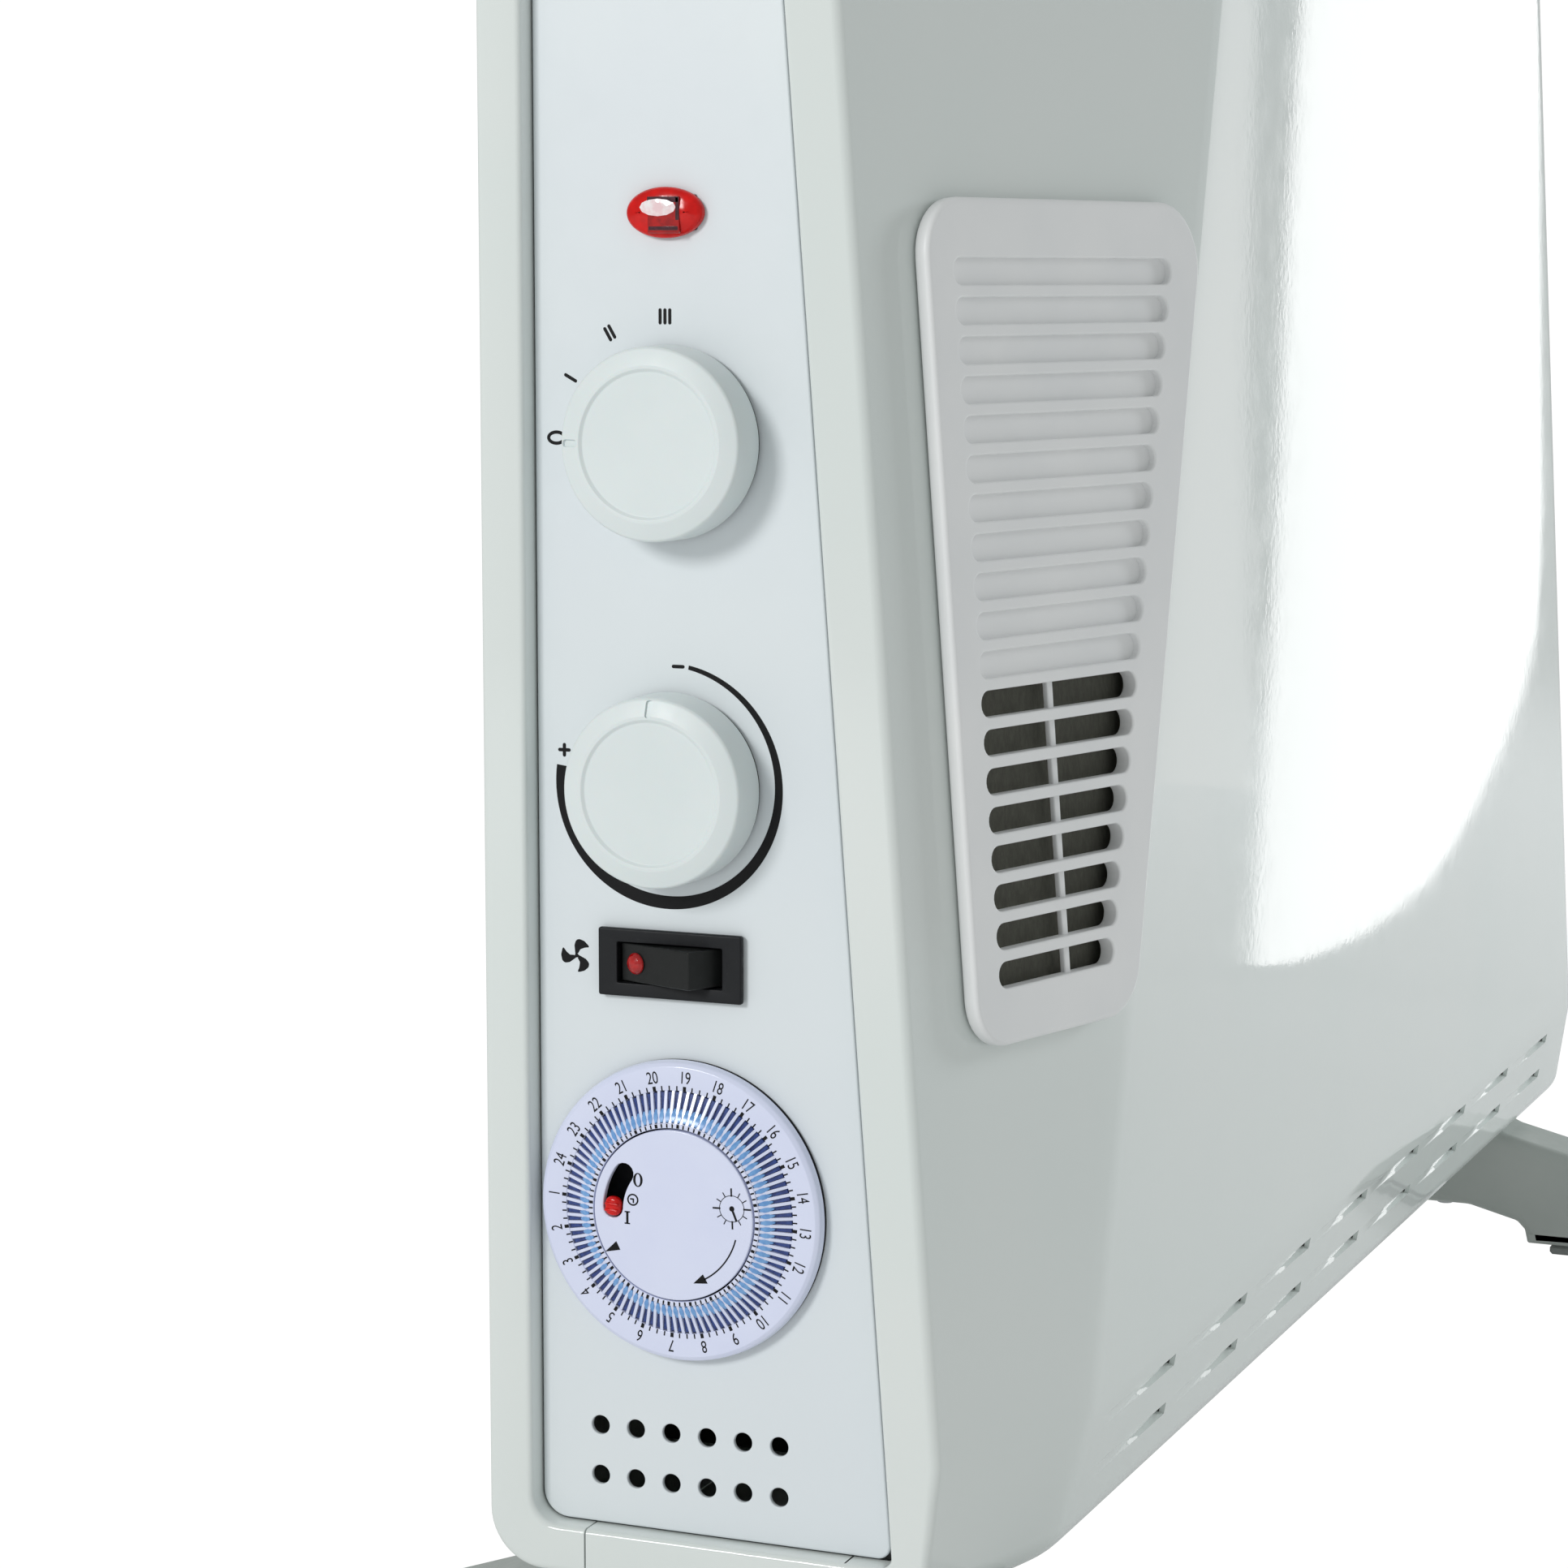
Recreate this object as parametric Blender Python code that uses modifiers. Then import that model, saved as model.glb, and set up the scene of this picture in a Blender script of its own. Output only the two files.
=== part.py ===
"""Fan convector heater: sheet-steel casing on two feet, controls on the narrow end.

World frame in metres: +X along the casing, away from the control end; the front faces -Y; +Z is up.
The origin is at the middle of the footprint, on the floor.

The pieces are laid out in millimetres as (x, back, up):
    x     distance from the control panel's outer face, into the casing
    back  distance forward of the casing's rear face
    up    height above the casing's underside
"""

import math

import bmesh
import bpy
from mathutils import Matrix, Vector

MM = 0.001

# ---- driving dimensions, mm ----
LENGTH = 600.0          # casing, lip to lip
HEIGHT = 360.0          # casing
DEPTH = 115.0           # casing, rear face to the middle of the front
END_DEPTH = 102.1       # casing's depth at its ends, at the underside
END_TAPER = 0.0761      # how much that depth shrinks per mm of height
FACET_SLOPE = 0.287     # forward per mm along the casing, on the angled front facets
CREASE_SOFT = 0.6       # softness of the crease between a facet and the flat front
RECESS = 5.0            # end panels lie this far behind the lips
SHEET = 1.2             # steel thickness
GAP = 0.4               # clearance between neighbouring pieces
FOOT_DROP = 42.0        # floor to the casing's underside
FOOT_BACK = -45.0       # rear tip of the feet, in "back"
FOOT_FRONT = 165.0      # front tip of the feet
FOOT_WIDTH = 26.0
FOOT_XS = (11.0, 500.0)  # each foot's face nearer the control end
KNOB_TOP = 12.4         # the knobs stand proudest of the end

X_NEAR = -RECESS
X_FAR = LENGTH - RECESS
X_MIDDLE = (X_FAR - KNOB_TOP) / 2
BACK_MIDDLE = (FOOT_BACK + FOOT_FRONT) / 2

# lip widths around the end panels, and the flanges that the front and rear shells fold inwards
LIP_REAR, LIP_FRONT, LIP_LEVEL = 10.0, 11.4, 10.0
PANEL_FRONT_GAP = 2.7   # the end panels stop short of the front shell's lip
FLANGE = 22.0
LIP_RETURN = 1.0        # the lips' inner walls run this far past the panel's face

# control centres on the end panel: (back, up)
LAMP = (39.8, 278.9)
SELECTOR = (40.7, 233.8)
THERMOSTAT = (40.7, 164.9)
ROCKER = (40.4, 128.8)
TIMER = (43.0, 78.6)
PANEL_HOLES = (23.6, 31.1)          # first of the air holes
HOLE_PITCH, HOLE_ROW_DROP, HOLE_RADIUS = 8.0, 10.6, 2.0

FAN = (52.0, 155.0)
BULKHEAD_X = 72.0


def front_at_end(up):
    return END_DEPTH - END_TAPER * up


def crease_distance(up):
    """Distance of the crease from the casing's end."""
    return (DEPTH - front_at_end(up)) / FACET_SLOPE


def front_at(x, up):
    """The front skin's distance from the rear face, with a softened crease."""
    from_end = min(x - X_NEAR, X_FAR - x)
    short = (crease_distance(up) - from_end) * FACET_SLOPE
    return DEPTH - CREASE_SOFT * math.log1p(math.exp(short / CREASE_SOFT))


def world(x, back, up):
    return Vector((x - X_MIDDLE, BACK_MIDDLE - back, up + FOOT_DROP)) * MM


# ---- scene ----
for old in list(bpy.data.objects):
    bpy.data.objects.remove(old, do_unlink=True)

parts = bpy.data.collections.new("fan_convector_heater")
cutters = bpy.data.collections.new("cutters")
for collection in (parts, cutters):
    bpy.context.scene.collection.children.link(collection)


def material(name, color, roughness, metallic=0.0):
    mat = bpy.data.materials.new(name)
    mat.use_nodes = True
    shader = mat.node_tree.nodes["Principled BSDF"]
    shader.inputs["Base Color"].default_value = (*color, 1.0)
    shader.inputs["Roughness"].default_value = roughness
    shader.inputs["Metallic"].default_value = metallic
    return mat


ENAMEL = material("white_enamel", (0.80, 0.82, 0.81), 0.28)
PANEL_PAINT = material("panel_paint", (0.78, 0.82, 0.84), 0.40)
GRILLE_PLASTIC = material("grille_plastic", (0.66, 0.67, 0.67), 0.60)
KNOB_PLASTIC = material("knob_plastic", (0.82, 0.85, 0.86), 0.35)
BLACK_PLASTIC = material("black_plastic", (0.02, 0.02, 0.02), 0.45)
RED_LENS = material("red_lens", (0.75, 0.02, 0.01), 0.10)
DIAL_PLASTIC = material("dial_plastic", (0.75, 0.78, 0.92), 0.25)
TAPPET_BLUE = material("tappet_blue", (0.08, 0.16, 0.50), 0.30)
FOOT_PLASTIC = material("foot_plastic", (0.55, 0.58, 0.54), 0.50)
RUBBER = material("rubber", (0.06, 0.06, 0.06), 0.85)
STEEL = material("galvanised_steel", (0.60, 0.61, 0.62), 0.40, 1.0)
ELEMENT_STEEL = material("element_steel", (0.35, 0.33, 0.31), 0.50, 1.0)
MICA = material("insulating_board", (0.70, 0.62, 0.48), 0.70)


def add_object(name, data, mat, parent=None, where=None, collection=parts):
    obj = bpy.data.objects.new(name, data)
    collection.objects.link(obj)
    if mat:
        data.materials.append(mat)
    if parent:
        obj.parent = parent
    if where is not None:
        obj.location = where
    return obj


def bmesh_object(name, bm, mat, **placing):
    mesh = bpy.data.meshes.new(name)
    bm.to_mesh(mesh)
    bm.free()
    return add_object(name, mesh, mat, **placing)


def as_cutter(obj):
    for owner in list(obj.users_collection):
        owner.objects.unlink(obj)
    cutters.objects.link(obj)
    obj.hide_render = True
    obj.display_type = "WIRE"
    return obj


def combine(target, tool, operation="DIFFERENCE"):
    as_cutter(tool)
    modifier = target.modifiers.new(operation.lower(), "BOOLEAN")
    modifier.operation = operation
    modifier.solver = "EXACT"
    modifier.object = tool


def bevel(obj, width, segments=2, angle=30.0):
    modifier = obj.modifiers.new("rounded_edges", "BEVEL")
    modifier.width = width * MM
    modifier.segments = segments
    modifier.limit_method = "ANGLE"
    modifier.angle_limit = math.radians(angle)
    return modifier


# ---- the two working frames ----
# end_frame: local X = back, local Y = up, local Z = out of the control panel's face
end_frame = add_object("end_frame", None, None, where=world(0, 0, 0))
end_frame.rotation_euler = (math.pi / 2, 0, -math.pi / 2)

# facet_frame: local X level along the facet, local Y up it, local Z out of it
facet_angle = math.atan(FACET_SLOPE)
FACET_ALONG = Vector((math.cos(facet_angle), -math.sin(facet_angle), 0))
FACET_OUT = Vector((-FACET_SLOPE, -1, END_TAPER)).normalized()
FACET_UP = FACET_OUT.cross(FACET_ALONG)
facet_frame = add_object("facet_frame", None, None)
facet_frame.matrix_world = (
    Matrix.Translation(world(X_NEAR, END_DEPTH, 0))
    @ Matrix((FACET_ALONG, FACET_UP, FACET_OUT)).transposed().to_4x4()
)
FACET_RISE = Vector((0, END_TAPER, 1))     # the facet's own line of constant x, per mm of height


def on_facet(along, up):
    """Facet-frame coordinates of a point by its distance along the facet and its height."""
    return (along + up * FACET_RISE.dot(FACET_ALONG), up * FACET_RISE.dot(FACET_UP))


# ---- shape helpers ----
def box(name, x, back, up, mat):
    """A block from its (low, high) ranges, in mm."""
    bm = bmesh.new()
    bmesh.ops.create_cube(bm, size=1.0)
    low, high = world(x[0], back[0], up[0]), world(x[1], back[1], up[1])
    centre, size = (low + high) / 2, high - low
    scale = Matrix.Diagonal((abs(size.x), abs(size.y), abs(size.z), 1))
    bmesh.ops.transform(bm, matrix=scale, verts=bm.verts)
    return bmesh_object(name, bm, mat, where=centre)


def boxes(name, blocks, parent=None):
    """Several separate blocks in one mesh, for cutting; each is (centre, size) in mm."""
    bm = bmesh.new()
    for centre, size in blocks:
        matrix = Matrix.Translation(Vector(centre) * MM) @ Matrix.Diagonal((*(s * MM for s in size), 1))
        bmesh.ops.create_cube(bm, size=1.0, matrix=matrix)
    return bmesh_object(name, bm, None, parent=parent)


def rod(name, start, end, radius, mat, sides=12):
    """A round bar between two (x, back, up) points."""
    a, b = world(*start), world(*end)
    bm = bmesh.new()
    bmesh.ops.create_cone(bm, cap_ends=True, segments=sides, radius1=radius * MM, radius2=radius * MM,
                          depth=(b - a).length)
    obj = bmesh_object(name, bm, mat, where=(a + b) / 2)
    obj.rotation_euler = (b - a).to_track_quat("Z", "Y").to_euler()
    return obj


def turned(name, profile, centre, mat, steps=32, closed=False, parent=end_frame):
    """A profile of (radius, out) points in mm, from the top down its outer side, turned round local Z."""
    bm = bmesh.new()
    verts = [bm.verts.new((radius * MM, 0, out * MM)) for radius, out in profile]
    for a, b in zip(verts, verts[1:] + (verts[:1] if closed else [])):
        bm.edges.new((a, b))
    where = Vector((*centre, 0)) * MM if parent else centre
    obj = bmesh_object(name, bm, mat, parent=parent, where=where)
    screw = obj.modifiers.new("turned", "SCREW")
    screw.steps = screw.render_steps = steps
    screw.use_merge_vertices = True
    screw.merge_threshold = 0.00001
    screw.use_smooth_shade = True
    return obj


def circle(centre, radius, sides=24):
    return [(centre[0] + radius * math.cos(math.tau * i / sides),
             centre[1] + radius * math.sin(math.tau * i / sides)) for i in range(sides)]


def rectangle(centre, width, height):
    (cx, cy), w, h = centre, width / 2, height / 2
    return [(cx - w, cy - h), (cx + w, cy - h), (cx + w, cy + h), (cx - w, cy + h)]


def rounded(corners, radii, steps=4):
    """A polygon, counter-clockwise, with each corner replaced by an arc."""
    points = []
    count = len(corners)
    for i, radius in enumerate(radii):
        before, here, after = (Vector(corners[(i + k) % count]) for k in (-1, 0, 1))
        to_before, to_after = (before - here).normalized(), (after - here).normalized()
        half = to_before.angle(to_after) / 2
        centre = here + (to_before + to_after).normalized() * (radius / math.sin(half))
        start = here + to_before * (radius / math.tan(half)) - centre
        sweep = math.pi - 2 * half
        for k in range(steps + 1):
            turn = sweep * k / steps
            cos, sin = math.cos(turn), math.sin(turn)
            points.append((centre.x + start.x * cos - start.y * sin, centre.y + start.x * sin + start.y * cos))
    return points


def slot_outline(left, right, middle, width, steps=4):
    """A level slot with round ends."""
    radius = width / 2
    points = []
    for centre, first in ((right - radius, -math.pi / 2), (left + radius, math.pi / 2)):
        for k in range(steps + 1):
            angle = first + math.pi * k / steps
            points.append((centre + radius * math.cos(angle), middle + radius * math.sin(angle)))
    return points


def plate(name, loops, low, high, mat, parent=end_frame):
    """A flat outline with holes, thick from low to high along the frame's Z."""
    curve = bpy.data.curves.new(name, "CURVE")
    curve.dimensions = "2D"
    curve.fill_mode = "BOTH"
    curve.extrude = (high - low) / 2 * MM
    for loop in loops:
        spline = curve.splines.new("POLY")
        spline.points.add(len(loop) - 1)
        for point, (a, b) in zip(spline.points, loop):
            point.co = (a * MM, b * MM, 0, 1)
        spline.use_cyclic_u = True
    return add_object(name, curve, mat, parent=parent, where=(0, 0, (low + high) / 2 * MM))


def meshed(obj):
    """A curve piece turned into a welded mesh, so that it can be cut."""
    bpy.context.view_layer.update()
    evaluated = obj.evaluated_get(bpy.context.evaluated_depsgraph_get())
    mesh = bpy.data.meshes.new_from_object(evaluated)
    bm = bmesh.new()
    bm.from_mesh(mesh)
    bmesh.ops.remove_doubles(bm, verts=bm.verts, dist=0.00001)
    bm.to_mesh(mesh)
    bm.free()
    name, matrix = obj.name, obj.matrix_world.copy()
    bpy.data.objects.remove(obj, do_unlink=True)
    solid = add_object(name, mesh, None)
    solid.matrix_world = matrix
    return solid


# ---- casing: four folded sheets around the end outline ----
def arc(centre, radius, start, end, steps=4):
    return [(centre[0] + radius * math.cos(math.radians(start + (end - start) * i / steps)),
             centre[1] + radius * math.sin(math.radians(start + (end - start) * i / steps)))
            for i in range(steps + 1)]


def front_profile(inset, level, low_radius, high_radius, toe):
    """(setback from the front skin, up), from the bottom flange over the front to the top flange."""
    low_centre = (inset + toe + low_radius, level + low_radius)
    high_centre = (inset + high_radius, HEIGHT - level - high_radius)
    return ([(FLANGE, level)] + arc(low_centre, low_radius, 270, 190)
            + [(inset, 32.0)]
            + arc(high_centre, high_radius, 180, 90) + [(FLANGE, HEIGHT - level)])


def rear_profile(inset, level, radius):
    """(back, up), from the top flange down the rear to the bottom flange."""
    high_centre = (inset + radius, HEIGHT - level - radius)
    low_centre = (inset + radius, level + radius)
    return ([(FLANGE, HEIGHT - level)] + arc(high_centre, radius, 90, 180)
            + arc(low_centre, radius, 180, 270) + [(FLANGE, level)])


def skin_columns(up):
    """Where a sheet bends along the casing: its ends and the soft creases."""
    crease = crease_distance(up)
    near = [X_NEAR, X_NEAR + crease - 5, X_NEAR + crease, X_NEAR + crease + 5]
    return near + [X_NEAR + X_FAR - x for x in reversed(near)]


def folded_sheet(name, outer, inner, mat):
    """A sheet through rows of outline points, with a lip and a short return wall at each end.

    outer(x, row) and inner(x, row) give (back, up) on the skin and at the lip's inner edge.
    """
    bm = bmesh.new()
    grid = []
    row = 0
    while outer(X_NEAR, row) is not None:
        up = outer(X_NEAR, row)[1]
        spots = [(X_NEAR + RECESS + LIP_RETURN, *inner(X_NEAR, row)), (X_NEAR, *inner(X_NEAR, row))]
        spots += [(x, *outer(x, row)) for x in skin_columns(up)]
        spots += [(X_FAR, *inner(X_FAR, row)), (X_FAR - RECESS - LIP_RETURN, *inner(X_FAR, row))]
        grid.append([bm.verts.new(world(*spot)) for spot in spots])
        row += 1
    for lower, upper in zip(grid, grid[1:]):
        for a, b, c, d in zip(lower, lower[1:], upper[1:], upper):
            bm.faces.new((a, b, c, d))
    obj = bmesh_object(name, bm, mat)
    bevel(obj, 1.8)
    solid = obj.modifiers.new("sheet", "SOLIDIFY")
    solid.thickness = SHEET * MM
    solid.offset = -1
    solid.use_even_offset = True
    return obj


def rows(points):
    return lambda row: points[row] if row < len(points) else None


FRONT_OUTER = rows(front_profile(0, 0, 9.0, 12.0, 4.6))
FRONT_INNER = rows(front_profile(LIP_FRONT, LIP_LEVEL, 3.0, 4.0, 0.0))
REAR_OUTER = rows(rear_profile(0, 0, 12.0))
REAR_INNER = rows(rear_profile(LIP_REAR, LIP_LEVEL, 6.0))


def front_skin(side):
    def point(x, row):
        spot = side(row)
        return spot and (front_at(x, spot[1]) - spot[0], spot[1])
    return point


def rear_skin(side):
    return lambda x, row: side(row)


def level_skin(up, forwards):
    """The top or bottom sheet, between the two shells' flanges."""
    def point(x, row):
        if row > 1:
            return None
        to_front = forwards == (row == 1)
        return (front_at(x, up) - FLANGE - GAP if to_front else FLANGE + GAP, up)
    return point


front_shell = folded_sheet("front_shell", front_skin(FRONT_OUTER), front_skin(FRONT_INNER), ENAMEL)
rear_shell = folded_sheet("rear_shell", rear_skin(REAR_OUTER), rear_skin(REAR_INNER), ENAMEL)
base_plate = folded_sheet("base_plate", level_skin(0.0, True), level_skin(LIP_LEVEL, True), ENAMEL)
top_grille = folded_sheet("top_grille", level_skin(HEIGHT, False), level_skin(HEIGHT - LIP_LEVEL, False), ENAMEL)

# air slots: two rows in the outlet on top, two in the intake underneath
TOP_SLOT = (15.0, 12.0)
BASE_SLOT = (18.0, 26.0)


def slot_rows(name, count, pitch, size, rows_back, up):
    first = (X_NEAR + X_FAR) / 2 - pitch * (count - 1) / 2
    blocks = []
    for back in rows_back:
        for i in range(count):
            centre = world(first + pitch * i, back, up) / MM
            blocks.append((centre, (*size, 10.0)))
    return boxes(name, blocks)


combine(top_grille, slot_rows("outlet_slots", 24, 21.0, TOP_SLOT, (34.0, 50.0), HEIGHT))
combine(base_plate, slot_rows("intake_slots", 12, 26.0, BASE_SLOT, (40.0, 70.0), 0.0))


# ---- end panels ----
def panel_outline():
    low, high = LIP_LEVEL + GAP, HEIGHT - LIP_LEVEL - GAP
    rear = LIP_REAR + GAP
    front = [front_at_end(up) - LIP_FRONT - PANEL_FRONT_GAP for up in (low, high)]
    return rounded([(rear, low), (front[0], low), (front[1], high), (rear, high)], (5.6, 2.8, 3.6, 5.6))


def hole_grid():
    back, up = PANEL_HOLES
    return [circle((back + HOLE_PITCH * i, up - HOLE_ROW_DROP * row), HOLE_RADIUS, 10)
            for row in range(2) for i in range(6)]


ROCKER_CUTOUT = (27.6, 12.6)
control_openings = [
    circle(SELECTOR, 4.2, 16),
    circle(THERMOSTAT, 4.2, 16),
    circle(TIMER, 18.5, 32),
    rectangle(LAMP, 12.8, 6.8),
    rectangle(ROCKER, *ROCKER_CUTOUT),
]
plate("control_panel", [panel_outline()] + hole_grid() + control_openings, -SHEET, 0, PANEL_PAINT)
FAR_PANEL = -(X_FAR - RECESS)
plate("blind_end_panel", [panel_outline()] + hole_grid(), FAR_PANEL, FAR_PANEL + SHEET, PANEL_PAINT)

# ---- vent grille on the near facet: blind slots above, open slots below ----
GRILLE_THICK = 3.6
GRILLE_LOW, GRILLE_HIGH = 113.0, 281.8
GRILLE_LEFT = 18.0
GRILLE_RIGHT, GRILLE_RIGHT_LEAN = 44.3, 0.2664      # right edge = GRILLE_RIGHT + LEAN * up
SLOTS, BLIND_SLOTS = 19, 11
SLOT_TOP, SLOT_PITCH, SLOT_WIDTH = 267.2, 7.78, 5.4
SLOT_LEFT, SLOT_RIGHT, SLOT_RIGHT_STEP = 26.3, 104.1, 2.056


def facet_loop(points):
    return [on_facet(along, up) for along, up in points]


def grille_slot(index):
    return slot_outline(SLOT_LEFT, SLOT_RIGHT - SLOT_RIGHT_STEP * index, SLOT_TOP - SLOT_PITCH * index, SLOT_WIDTH)


grille_edge = rounded(
    [(GRILLE_LEFT, GRILLE_LOW), (GRILLE_RIGHT + GRILLE_RIGHT_LEAN * GRILLE_LOW, GRILLE_LOW),
     (GRILLE_RIGHT + GRILLE_RIGHT_LEAN * GRILLE_HIGH, GRILLE_HIGH), (GRILLE_LEFT, GRILLE_HIGH)],
    (10.0, 13.0, 13.0, 12.0), steps=5)
open_slots = [facet_loop(grille_slot(i)) for i in range(BLIND_SLOTS, SLOTS)]
vent_grille = meshed(plate("vent_grille", [facet_loop(grille_edge)] + open_slots, GAP, GAP + GRILLE_THICK,
                           GRILLE_PLASTIC, parent=facet_frame))

blind_cut = meshed(plate("blind_slots", [facet_loop(grille_slot(i)) for i in range(BLIND_SLOTS)],
                         GAP + GRILLE_THICK - 1.6, GAP + GRILLE_THICK + 2.0, None, parent=facet_frame))
combine(vent_grille, blind_cut)

RIB_ALONG = 53.0
rib = boxes("vent_rib", [((*on_facet(RIB_ALONG, 154.5), -1.0), (2.6, 62.0, 4.6))], parent=facet_frame)
combine(vent_grille, rib, "UNION")

VENT_OPENING = [(22.5, 122.0), (73.5, 122.0), (90.5, 187.0), (22.5, 187.0)]
vent_opening = meshed(plate("vent_opening", [facet_loop(VENT_OPENING)], -6.0, 3.0, None, parent=facet_frame))
combine(front_shell, vent_opening)

# ---- pilot lamp ----
LENS_SIZE = (16.5, 10.0)
bm = bmesh.new()
bmesh.ops.create_cone(bm, cap_ends=True, segments=28, radius1=0.5, radius2=0.5, depth=1.0)
bmesh.ops.transform(bm, matrix=Matrix.Diagonal((LENS_SIZE[0] * MM, LENS_SIZE[1] * MM, 2.6 * MM, 1)), verts=bm.verts)
pilot_lamp_lens = bmesh_object("pilot_lamp_lens", bm, RED_LENS, parent=end_frame,
                               where=Vector((*LAMP, GAP + 1.3)) * MM)
bevel(pilot_lamp_lens, 1.1, 3, 60)
plate("pilot_lamp_body", [rectangle(LAMP, 12.0, 6.0)], -24.0, 0.0, BLACK_PLASTIC)

# ---- selector and thermostat: knob, spindle and the device behind the panel ----
KNOB_PROFILE = [
    (0, KNOB_TOP - 0.5), (13.8, KNOB_TOP - 0.5), (14.8, KNOB_TOP), (15.2, KNOB_TOP - 0.1), (18.7, 11.2), (19.1, 10.7),
    (19.3, 1.2), (19.1, 0.6), (3.4, 0.6), (3.4, 8.6), (0, 8.6),
]
KNOB_BEVEL = math.radians(30.0)
SPINDLE_RADIUS = 3.0


def knob(name, centre, pointer_degrees):
    """pointer_degrees is measured from straight up, clockwise as seen from the control end."""
    obj = turned(name, KNOB_PROFILE, centre, KNOB_PLASTIC, steps=36)
    direction = math.radians(pointer_degrees)
    notch = boxes(name + "_notch", [((0, 0, 0), (1.6, 4.4, 1.2))], parent=end_frame)
    notch.location = Vector((centre[0] + 17.2 * math.sin(direction), centre[1] + 17.2 * math.cos(direction), 11.7)) * MM
    notch.rotation_euler = (-KNOB_BEVEL, 0, -direction)
    combine(obj, notch)


def spindle(name, centre):
    start, end = ((-h, *centre) for h in (8.2, -9.0))
    rod(name, start, end, SPINDLE_RADIUS, STEEL)


def switch_body(name, centre, size, depth, mat):
    """A block behind the panel with a round socket for the spindle."""
    body = box(name, (SHEET + GAP, SHEET + GAP + depth),
               (centre[0] - size[0] / 2, centre[0] + size[0] / 2),
               (centre[1] - size[1] / 2, centre[1] + size[1] / 2), mat)
    socket = rod(name + "_socket", (0, *centre), (12.0, *centre), SPINDLE_RADIUS + GAP, None, 16)
    combine(body, socket)


knob("selector_knob", SELECTOR, -90.0)
spindle("selector_shaft", SELECTOR)
switch_body("selector_switch", SELECTOR, (34.0, 34.0), 26.0, BLACK_PLASTIC)
knob("thermostat_knob", THERMOSTAT, 0.0)
spindle("thermostat_shaft", THERMOSTAT)
switch_body("thermostat_body", THERMOSTAT, (38.0, 30.0), 22.0, STEEL)

# ---- fan rocker switch ----
BEZEL = (31.6, 13.9, 1.5)
WELL = (23.2, 8.4, 15.6)
PIVOT_DEPTH = 2.5
# the rocker's section around its pivot: (along back, out of the panel)
ROCKER_SECTION = [(-11.0, 3.2), (-11.2, -1.0), (-8.6, -4.0), (8.6, -4.0), (11.1, -1.0), (10.9, 1.6), (6.4, 9.2)]
rocker_housing = boxes("rocker_housing", [((*ROCKER, GAP + BEZEL[2] / 2), BEZEL)], parent=end_frame)
rocker_housing.data.materials.append(BLACK_PLASTIC)
barrel = boxes("rocker_barrel", [((*ROCKER, -9.0), (27.0, 12.0, 19.6))], parent=end_frame)
combine(rocker_housing, barrel, "UNION")
combine(rocker_housing, boxes("rocker_well", [((*ROCKER, 3.0 - WELL[2] / 2), WELL)], parent=end_frame))

# the rocker turns about a vertical pin, so its frame has local X = back, local Y = out, local Z = down
rocker_frame = add_object("rocker_frame", None, None, where=world(PIVOT_DEPTH, *ROCKER))
rocker_frame.rotation_euler = (math.pi, 0, -math.pi / 2)
rocker_button = plate("rocker_button", [ROCKER_SECTION], -3.9, 3.9, BLACK_PLASTIC, parent=rocker_frame)

LENS_ALONG, LENS_RADIUS = 4.0, 2.2
face_start, face_end = Vector(ROCKER_SECTION[0]), Vector(ROCKER_SECTION[-1])
face = (face_end - face_start).normalized()
lens_spot = face_start + face * LENS_ALONG
lens_out = Vector((-face.y, face.x))
rocker_lens = turned("rocker_lens", [(0, 1.0), (1.3, 0.8), (2.0, 0.3), (LENS_RADIUS, 0.0), (0, 0.0)],
                     (0, 0), RED_LENS, 16, parent=rocker_frame)
rocker_lens.location = Vector((*(lens_spot + lens_out * GAP), 0)) * MM
rocker_lens.rotation_euler = Vector((*lens_out, 0)).to_track_quat("Z", "Y").to_euler()

# ---- timer: fixed works and centre disc, turning dial with its ring of tappets, mode lever ----
DISC_RADIUS, DISC_TOP = 17.5, 6.3
DIAL_PROFILE = [
    (30.7, 0.7), (25.1 - 7.25, 0.7), (25.1 - 7.25, 6.1), (18.8, 6.1), (18.8, 2.0), (25.1, 2.0),
    (25.1, 3.6), (30.0, 3.6), (30.5, 3.2), (31.1, 1.2),
]
TAPPET_PROFILE = [(24.8, 2.4), (19.2, 2.4), (19.2, 5.9), (24.8, 3.5)]
LEVER_ORBIT, LEVER_TIP = 13.4, 7.4
LEVER_REST, LEVER_TRAVEL = -87.0, 32.0      # degrees from straight up, clockwise as seen from the end
LEVER_ACROSS, LEVER_ALONG = 1.7, 9.0        # half its size, in mm and in degrees round the dial

turned("timer_body", [(0, 4.3), (11.0, 4.3), (11.0, -SHEET - GAP), (25.0, -SHEET - GAP), (25.0, -28.0), (0, -28.0)],
       TIMER, BLACK_PLASTIC)
timer_centre_disc = turned("timer_centre_disc", [(0, DISC_TOP), (DISC_RADIUS, DISC_TOP), (DISC_RADIUS, 4.7), (0, 4.7)],
                           TIMER, DIAL_PLASTIC, 40)
turned("timer_dial", DIAL_PROFILE, TIMER, DIAL_PLASTIC, 48, closed=True)
turned("timer_tappets", TAPPET_PROFILE, TIMER, TAPPET_BLUE, 48, closed=True)


def orbit(degrees, radius):
    angle = math.radians(degrees)
    return (TIMER[0] + radius * math.sin(angle), TIMER[1] + radius * math.cos(angle))


def lever_slot(width, steps=8):
    """The curved slot that the lever runs in."""
    low, high = LEVER_REST - 11.5, LEVER_REST + LEVER_TRAVEL + 11.5
    angles = [low + (high - low) * i / steps for i in range(steps + 1)]
    return ([orbit(a, LEVER_ORBIT + width / 2) for a in angles]
            + [orbit(a, LEVER_ORBIT - width / 2) for a in reversed(angles)])


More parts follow.
